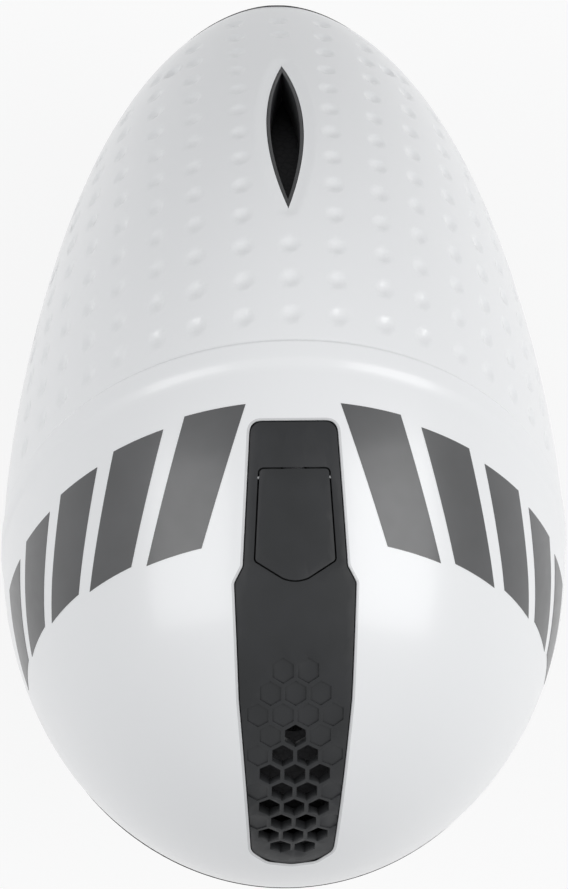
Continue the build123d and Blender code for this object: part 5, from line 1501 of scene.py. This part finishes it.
def bar_axes(node):
    """Centre, directions and half sizes of a bar, longest first, in millimetres."""
    points = np.array([v.co for v in nodes[node].data.vertices]) / MM
    spread = points - points.mean(0)
    _, _, axes = np.linalg.svd(spread, full_matrices=False)
    along = spread @ axes.T
    low, high = along.min(0), along.max(0)
    centre = points.mean(0) + ((low + high) / 2) @ axes
    return centre, axes, (high - low) / 2


STITCH_BOX_LENGTH = 11.0
STITCH_BOX_MARGIN = 2.0
STITCH_BOX_OFFSET = 9.0


def stitch_box(start, along, across, up):
    """A rectangle of stitches with a cross in it, on a strap."""
    start = start + up * (WEBBING_THICKNESS / 2 - SELVEDGE_RISE)
    end = start + along * STITCH_BOX_LENGTH
    aside = across * (WEBBING_WIDTH / 2 - STITCH_BOX_MARGIN)
    corners = [start + aside, end + aside, end - aside, start - aside]
    runs = [*zip(corners, corners[1:] + corners[:1]), (corners[0], corners[2]), (corners[1], corners[3])]
    return [stitches([a, b], up) for a, b in runs]


def side_strap(node):
    """One side strap with its stitching."""
    centre, axes, halves = bar_axes(node)
    along, across = axes[0], axes[1]
    if along[2] < 0:
        along = -along
    up = np.cross(along, across)
    if up[0] * centre[0] < 0:
        up = -up
    ends = [centre - along * halves[0], centre + along * halves[0]]
    piece = strip(node + "_woven", ends, across)
    start = ends[1] - along * (STITCH_BOX_OFFSET + STITCH_BOX_LENGTH)
    join(piece, *stitch_box(start, along, across, up))
    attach(piece, "helmet")
    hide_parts(node)


for place in ("front", "rear"):
    for side in ("left", "right"):
        side_strap(f"{place}_strap_{side}")
print("side straps: 4")

# %% [markdown]
# ## Chin strap
# Below the divider the strap leans forward, runs down to the jaw, turns under the chin and comes
# back up through the buckle. Its route is three straight runs joined by two arcs, in one leaning
# plane.

# %% Plane of the chin strap
STRAP_LEAN = radians(11.0)
DIVIDER_PLACE = np.array([76.0, 4.0, -72.0])
CHIN_LEAN = radians(41.8)
DIVIDER_FOOT = 11.0
CHIN_START_GAP = 5.4
CHIN_HALF_WIDTH = 28.0
CHIN_DEPTH = 60.0
CHIN_RADIUS = 30.0
ARC_POINTS = 10

strap_down = -np.array([sin(STRAP_LEAN), 0, cos(STRAP_LEAN)])
chin_top = DIVIDER_PLACE + strap_down * (DIVIDER_FOOT + CHIN_START_GAP)
chin_origin = np.array([0, chin_top[1], chin_top[2]])
chin_normal = np.array([0, -cos(CHIN_LEAN), sin(CHIN_LEAN)])
chin_up = np.cross(chin_normal, [1, 0, 0])


def in_chin_plane(x, y):
    """A point of the chin strap's plane, across and up."""
    return chin_origin + np.array([1.0, 0, 0]) * x + chin_up * y


chin_corner = np.array([CHIN_HALF_WIDTH, -CHIN_DEPTH])
chin_start = np.array([chin_top[0], 0])
chin_along = unit(chin_corner - chin_start)


def chin_place(distance):
    """A place on the straight left run, by its distance from the divider."""
    return in_chin_plane(*(chin_start + chin_along * distance))


def turned_line(corners):
    """A line through plane corners, each but the first and last rounded by a true arc."""
    line = [np.array(corners[0], float)]
    for before, corner, after in zip(corners, corners[1:], corners[2:]):
        back, on = unit(before - corner), unit(after - corner)
        half_angle = np.arccos(back @ on) / 2
        centre = corner + unit(back + on) * CHIN_RADIUS / sin(half_angle)
        first = corner + back * CHIN_RADIUS / tan(half_angle) - centre
        last = corner + on * CHIN_RADIUS / tan(half_angle) - centre
        for share in np.linspace(0, 1, ARC_POINTS):
            line.append(centre + unit(first * (1 - share) + last * share) * CHIN_RADIUS)
    line.append(np.array(corners[-1], float))
    return line


print("straight run of", round(float(np.linalg.norm(chin_corner - chin_start))), "mm to the corner")

# %% Chin strap
FEMALE_START = 6.0
STRAP_HOLD = 5.0
DIVIDER_HOLD = 1.5
MALE_START = 29.3
BUCKLE_GAP = 0.1

far_corner = chin_corner * [-1, 1]
route_end = chin_start + chin_along * (MALE_START + WEBBING_THICKNESS / 2 + BUCKLE_GAP)
chin_route = turned_line([-chin_start, far_corner, chin_corner, route_end])
chin_line = [in_chin_plane(*p) for p in chin_route]
chin_right = strip("chin_strap_right_woven", chin_line, chin_normal)
left_ends = [chin_place(-DIVIDER_HOLD), chin_place(FEMALE_START + STRAP_HOLD)]
chin_left = strip("chin_strap_left_woven", left_ends, chin_normal)
for piece, node in ((chin_right, "chin_strap_right"), (chin_left, "chin_strap_left")):
    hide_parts(node)
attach(chin_left, "helmet")
print("chin strap length in mm:", round(float(distance_walked(chin_line)[-1])))

# %% [markdown]
# ## How far the buckle reaches along the strap
# When the male half slides out, the webbing on it has to come along and slip into the chin pad.
# Here we only measure how far the male half reaches along the strap, and bake the right strap's
# place into its mesh; the strap is not tied to the buckle.

male_reach = (points_of(nodes["buckle_male"]) - chin_place(0)) @ (chin_place(1) - chin_place(0))
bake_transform(chin_right)
print("male half ends", round(male_reach.max(), 1), "mm along the strap")

# %% [markdown]
# ## Comfort pads
# A helmet pad is a slip of foam between two fabrics, pressed thin all round and stitched there.
# It hugs the head space, so we lay it on that rounded wall: a flat back against the foam, a
# crowned face towards the head, pressed channels across it and a row of stitches in the hem.

# %% Places on the head space
CAVITY_HALF_WIDTH = 88.0
CAVITY_HALF_LENGTH = 105.0
CAVITY_CENTRE_Y = -1.0
CAVITY_HEIGHT = 112.0
PAD_GAP = 0.3


def head_places(azimuths, elevations):
    """Points of the head space and their outward normals, by turns from the brow and the headband."""
    a, e = np.radians(azimuths), np.radians(elevations)
    size = np.array([CAVITY_HALF_WIDTH, CAVITY_HALF_LENGTH, CAVITY_HEIGHT])
    points = size * np.stack([np.cos(e) * np.sin(a), -np.cos(e) * np.cos(a), np.sin(e) + 0 * a], -1)
    return points + np.array([0, CAVITY_CENTRE_Y, 0]), unit(points / size**2)


print("head space in mm:", 2 * CAVITY_HALF_WIDTH, "by", 2 * CAVITY_HALF_LENGTH)

# %% Cloth that swells
PAD_SCALE = 30.0
PAD_FRAMES = 14
PAD_PRESSURE = 3.0
PAD_SWELL_LIMIT = 0.9


def swell(piece, held):
    """Blows a sewn pad up a little between its seams, where the cloth is not held."""
    mesh = piece.data
    start = points_of(piece)
    mesh.transform(Matrix.Scale(PAD_SCALE, 4))
    pins = piece.vertex_groups.new(name="held")
    for index, share in enumerate(held):
        pins.add([index], float(share), "REPLACE")
    cloth = piece.modifiers.new("cloth", "CLOTH")
    cloth.settings.quality = 5
    cloth.settings.mass = 0.1
    cloth.settings.tension_stiffness = 15
    cloth.settings.compression_stiffness = 8
    cloth.settings.shear_stiffness = 5
    cloth.settings.bending_stiffness = 0.6
    cloth.settings.use_pressure = True
    cloth.settings.uniform_pressure_force = PAD_PRESSURE
    cloth.settings.vertex_group_mass = "held"
    cloth.settings.effector_weights.gravity = 0
    cloth.collision_settings.use_collision = False
    scene = bpy.context.scene
    for moment in range(1, PAD_FRAMES + 1):
        scene.frame_set(moment)
    view = piece.evaluated_get(bpy.context.evaluated_depsgraph_get())
    blown = np.array([v.co for v in view.data.vertices]) / PAD_SCALE / MM
    piece.modifiers.remove(cloth)
    piece.vertex_groups.remove(pins)
    scene.frame_set(1)
    move = blown - start
    largest = np.linalg.norm(move, axis=1).max()
    move *= min(1, PAD_SWELL_LIMIT / largest)
    mesh.vertices.foreach_set("co", ((start + move) * MM).ravel())
    mesh.update()
    return float(np.linalg.norm(move, axis=1).max())


print("frames a pad:", PAD_FRAMES)

# %% Pad sizes
PAD_LENGTH_STEPS = 72
PAD_WIDTH_STEPS = 34
END_SHARE = 0.97
HEM_WIDTH = 2.2
HEM_THICKNESS = 0.9
HEM_EDGE_SHARE = 0.3
HEM_ROUND = 0.7
HEM_FLAT_SHARE = 0.8
SHOULDER_WIDTH = 4.5
SHOULDER_POWER = 0.6
CROWN_FALL_SHARE = 0.18
CHANNEL_WIDTH = 2.4
CHANNEL_DEPTH_SHARE = 0.62
HELD_CHANNEL = 0.8
FREE_CHANNEL = 1.6
FREE_HEM = 2.0
SEAM_SHARE = 0.55
SEAM_END_SHARE = 0.7
shares = np.linspace(-1, 1, PAD_LENGTH_STEPS)


def pad_thickness(inside, from_middle, half_thickness, gaps):
    """Thickness of a pad by the distance from its edge, its place across, and how far channels are."""
    rise = smooth((inside - HEM_WIDTH * HEM_FLAT_SHARE) / SHOULDER_WIDTH) ** SHOULDER_POWER
    crown = 1 - CROWN_FALL_SHARE * from_middle[None, :] ** 2
    hem = HEM_THICKNESS * (HEM_EDGE_SHARE + (1 - HEM_EDGE_SHARE) * smooth(inside / HEM_ROUND))
    thick = hem + (2 * half_thickness - HEM_THICKNESS) * rise * crown
    for gap in gaps:
        press = np.exp(-((gap / (CHANNEL_WIDTH / 2)) ** 2))
        thick = thick * (1 - CHANNEL_DEPTH_SHARE * press * smooth(inside / HEM_WIDTH))
    return thick


def pad_freedom(inside, gaps):
    """How free each point of a pad's face is to swell: not at all in its hem and channels."""
    free = smooth((inside - HEM_WIDTH) / FREE_HEM)
    for gap in gaps:
        free = free * smooth((gap - HELD_CHANNEL) / FREE_CHANNEL)
    return free


print("pad points:", 2 * PAD_LENGTH_STEPS * PAD_WIDTH_STEPS)

# %% A pad


def pad(name, node, body, places, half_width, half_thickness, channels, material=knit_grey):
    """A pad along places on a wall; channels are shares of its length."""
    wall, normals = places
    ahead = np.gradient(wall, axis=0)
    ahead = unit(ahead - normals * (ahead * normals).sum(1, keepdims=True))
    across = np.cross(ahead, normals)
    half_length = distance_walked(wall)[-1] / 2
    width = half_width * np.sqrt(1 - (END_SHARE * shares) ** 4)
    v = np.sin(np.linspace(-pi / 2, pi / 2, PAD_WIDTH_STEPS))
    from_side = (1 - np.abs(v))[None, :] * width[:, None]
    from_end = (1 - np.abs(shares))[:, None] * half_length
    inside = np.minimum(from_side, from_end)
    gaps = [(np.abs(shares - place) * half_length)[:, None] for place in channels]
    thick = pad_thickness(inside, np.abs(v), half_thickness, gaps)
    back = wall[:, None] + across[:, None] * (v[None, :, None] * width[:, None, None])
    back = back - normals[:, None] * PAD_GAP
    face = back - normals[:, None] * thick[..., None]
    points = np.vstack([face.reshape(-1, 3), back.reshape(-1, 3)])
    piece = new_piece(name, points, slab_faces(*thick.shape), material, thread_grey)
    face_out(piece)
    held = np.concatenate([1 - pad_freedom(inside, gaps).ravel(), np.ones(thick.size)])
    print(name, "swelled by", round(swell(piece, held), 2), "mm")
    keep = np.abs(shares) < 1 - HEM_WIDTH * SEAM_END_SHARE / half_length
    seam_width = (width - HEM_WIDTH * SEAM_SHARE)[:, None]
    seams = [wall + across * side * seam_width - normals * (PAD_GAP + HEM_THICKNESS) for side in (-1, 1)]
    join(piece, *[stitches(seam[keep], -normals[keep], **PAD_STITCH) for seam in seams])
    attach(piece, body)
    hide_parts(node)


print("stitches in a hem are", PAD_STITCH["length"], "mm long")

# %% Brow, top and side pads


def mirrored_places(places):
    """The same places on the other side of the head."""
    points, normals = places
    flip = np.array([-1, 1, 1])
    return points * flip, normals * flip


BROW_TURN, BROW_RISE = 52.0, 17.0
TOP_SWING, TOP_TILT = 36.0, radians(20.0)
SIDE_MIDDLE, SIDE_TURN, SIDE_RISE = 92.0, 30.0, 30.0
BROW_PAD = {"half_width": 13.0, "half_thickness": 3.2, "channels": (-0.55, -0.18, 0.18, 0.55)}
TOP_PAD = {"half_width": 9.0, "half_thickness": 2.8, "channels": (-0.3, 0.3)}
SIDE_PAD = {"half_width": 10.0, "half_thickness": 2.6, "channels": (-0.3, 0.3)}

level_places = np.ones(PAD_LENGTH_STEPS)
brow = head_places(BROW_TURN * shares, BROW_RISE * level_places)
pad("brow_pad_sewn", "brow_pad", "helmet", brow, **BROW_PAD)

swing = np.radians(TOP_SWING * shares)
upright = cos(TOP_TILT)
aim = np.stack([sin(TOP_TILT) + 0 * swing, upright * np.sin(swing), upright * np.cos(swing)], -1)
top = head_places(np.degrees(np.arctan2(aim[:, 0], -aim[:, 1])), np.degrees(np.arcsin(aim[:, 2])))
side = head_places(SIDE_MIDDLE + SIDE_TURN * shares, SIDE_RISE * level_places)
for name, turn in (("left", lambda p: p), ("right", mirrored_places)):
    pad(f"top_pad_{name}_sewn", f"top_pad_{name}", "helmet", turn(top), **TOP_PAD)
    pad(f"side_pad_{name}_sewn", f"side_pad_{name}", "helmet", turn(side), **SIDE_PAD)
print("brow, top and side pads: 5")

# %% [markdown]
# ## Ear pads and the cradle pad
# The ear pads lie flat against the inside of the ear covers. The cradle pad is a thin slip of
# spacer mesh on the curved plate that holds the back of the head, and it moves with the cradle.

# %% Ear pads
EAR_PAD_Z = -38.0
EAR_PAD_HALF_LENGTH = 42.0
EAR_PAD = {"half_width": 15.0, "half_thickness": 2.6, "channels": (-0.4, 0.0, 0.4)}

ear_y = EAR_PAD_HALF_LENGTH * shares
half, _, girth, skirt = station(ear_y)
ear_x = half * np.sqrt(1 - ((girth - EAR_PAD_Z) / skirt) ** 2)
ear_wall = np.stack([ear_x, ear_y, 0 * ear_y + EAR_PAD_Z], -1)
ear_normals = form_normal(ear_wall)
ear = (ear_wall - ear_normals * SHELL_WALL, ear_normals)
for name, turn in (("left", lambda p: p), ("right", mirrored_places)):
    pad(f"ear_pad_{name}_sewn", f"ear_pad_{name}", "helmet", turn(ear), **EAR_PAD)
print("ear pads: 2")

# %% Cradle pad
PIVOT = np.array([0, 18.0, 8.0])
BELT_LEAN = radians(21.0)
YOKE_INNER = 77.9
CRADLE_PAD_TURN = 26.0
CRADLE_PAD = {"half_width": 10.0, "half_thickness": 1.8, "channels": (-0.45, 0.0, 0.45)}

turn_at = np.radians(90 - CRADLE_PAD_TURN * shares)
belt_down = np.array([0, cos(BELT_LEAN), -sin(BELT_LEAN)])
cradle_out = np.cos(turn_at)[:, None] * np.array([1.0, 0, 0]) + np.sin(turn_at)[:, None] * belt_down
cradle = (PIVOT + cradle_out * YOKE_INNER, cradle_out)
pad("cradle_pad_sewn", "cradle_pad", "cradle", cradle, material=mesh_black, **CRADLE_PAD)

# %% [markdown]
# ## Chin pad
# A soft sleeve wraps the strap under the chin. Its section is a rounded lozenge, thinner at its
# ends, and it follows the strap's own route.

# %% Chin pad
CHIN_PAD_REACH = 16.0
CHIN_PAD_HALF_WIDTH = 11.0
CHIN_PAD_HALF_THICKNESS = 3.2
SLEEVE_POINTS = 28
SLEEVE_STEP = 1.6
SLEEVE_TAPER = 6.0
SLEEVE_END_SHARE = 0.02
QUILT_PITCH = 14.0
QUILT_DEPTH_SHARE = 0.12
QUILT_WIDTH_SHARE = 0.09
LOZENGE_POWERS = (0.62, 0.8)
SLEEVE_END_WIDTH_SHARE = 0.8
SLEEVE_SEAM_IN = 0.3
SEAM_END_STEPS = 4

pad_top = chin_corner - chin_along * CHIN_PAD_REACH
pad_route = turned_line([pad_top * [-1, 1], far_corner, chin_corner, pad_top])
sleeve_line, sleeve_walked = resampled([in_chin_plane(*p) for p in pad_route], SLEEVE_STEP)
outward = np.cross(unit(np.gradient(sleeve_line, axis=0)), chin_normal)
from_end = np.minimum(sleeve_walked, sleeve_walked[-1] - sleeve_walked)
taper = np.sqrt(np.clip(1 - (1 - np.clip(from_end / SLEEVE_TAPER, 0, 1)) ** 2, SLEEVE_END_SHARE, 1))
seam_gap = ((sleeve_walked / QUILT_PITCH) % 1 - 0.5) / QUILT_WIDTH_SHARE
quilt = 1 - QUILT_DEPTH_SHARE * np.exp(-(seam_gap**2))
turns = np.linspace(0, 2 * pi, SLEEVE_POINTS, endpoint=False)
ways = (np.cos(turns), np.sin(turns))
section_x, section_y = (np.sign(way) * np.abs(way) ** power for way, power in zip(ways, LOZENGE_POWERS))
wide = CHIN_PAD_HALF_WIDTH * (SLEEVE_END_WIDTH_SHARE + (1 - SLEEVE_END_WIDTH_SHARE) * taper)
deep = CHIN_PAD_HALF_THICKNESS * taper * quilt
rings = sleeve_line[:, None] + chin_normal * (section_x * wide[:, None])[..., None]
rings = rings + outward[:, None] * (section_y * deep[:, None])[..., None]
faces = tube_faces(len(sleeve_line), SLEEVE_POINTS)
sleeve = new_piece("chin_pad_sewn", rings.reshape(-1, 3), faces, knit_grey, thread_grey)
face_out(sleeve)
seam = sleeve_line[SEAM_END_STEPS:-SEAM_END_STEPS] + chin_normal * (CHIN_PAD_HALF_WIDTH - SLEEVE_SEAM_IN)
join(sleeve, stitches(seam, chin_normal, **PAD_STITCH))
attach(sleeve, "helmet")
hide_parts("chin_pad")
print("chin pad length in mm:", round(float(sleeve_walked[-1])))

# %% [markdown]
# ## What keeps its own shape
# The foam, the rim guard and the metal pins are right as the model has them, so only their finish
# is added. A node that a piece stands for gets one too, since the model still carries it.

# %% Finishes of the other nodes
FINISHES = {
    "rim_guard": guard_rubber,
    "eps_liner": foam_black,
    "door_hinge_pin": steel,
    # the leaf's dark steel is painted shade in the slot behind the door
    "door_spring": spring_steel_painted_shade,
    "dial_screw": steel,
}
for node in nodes:
    paint(node, FINISHES.get(node, nylon_black))
print("painted nodes:", len(nodes))
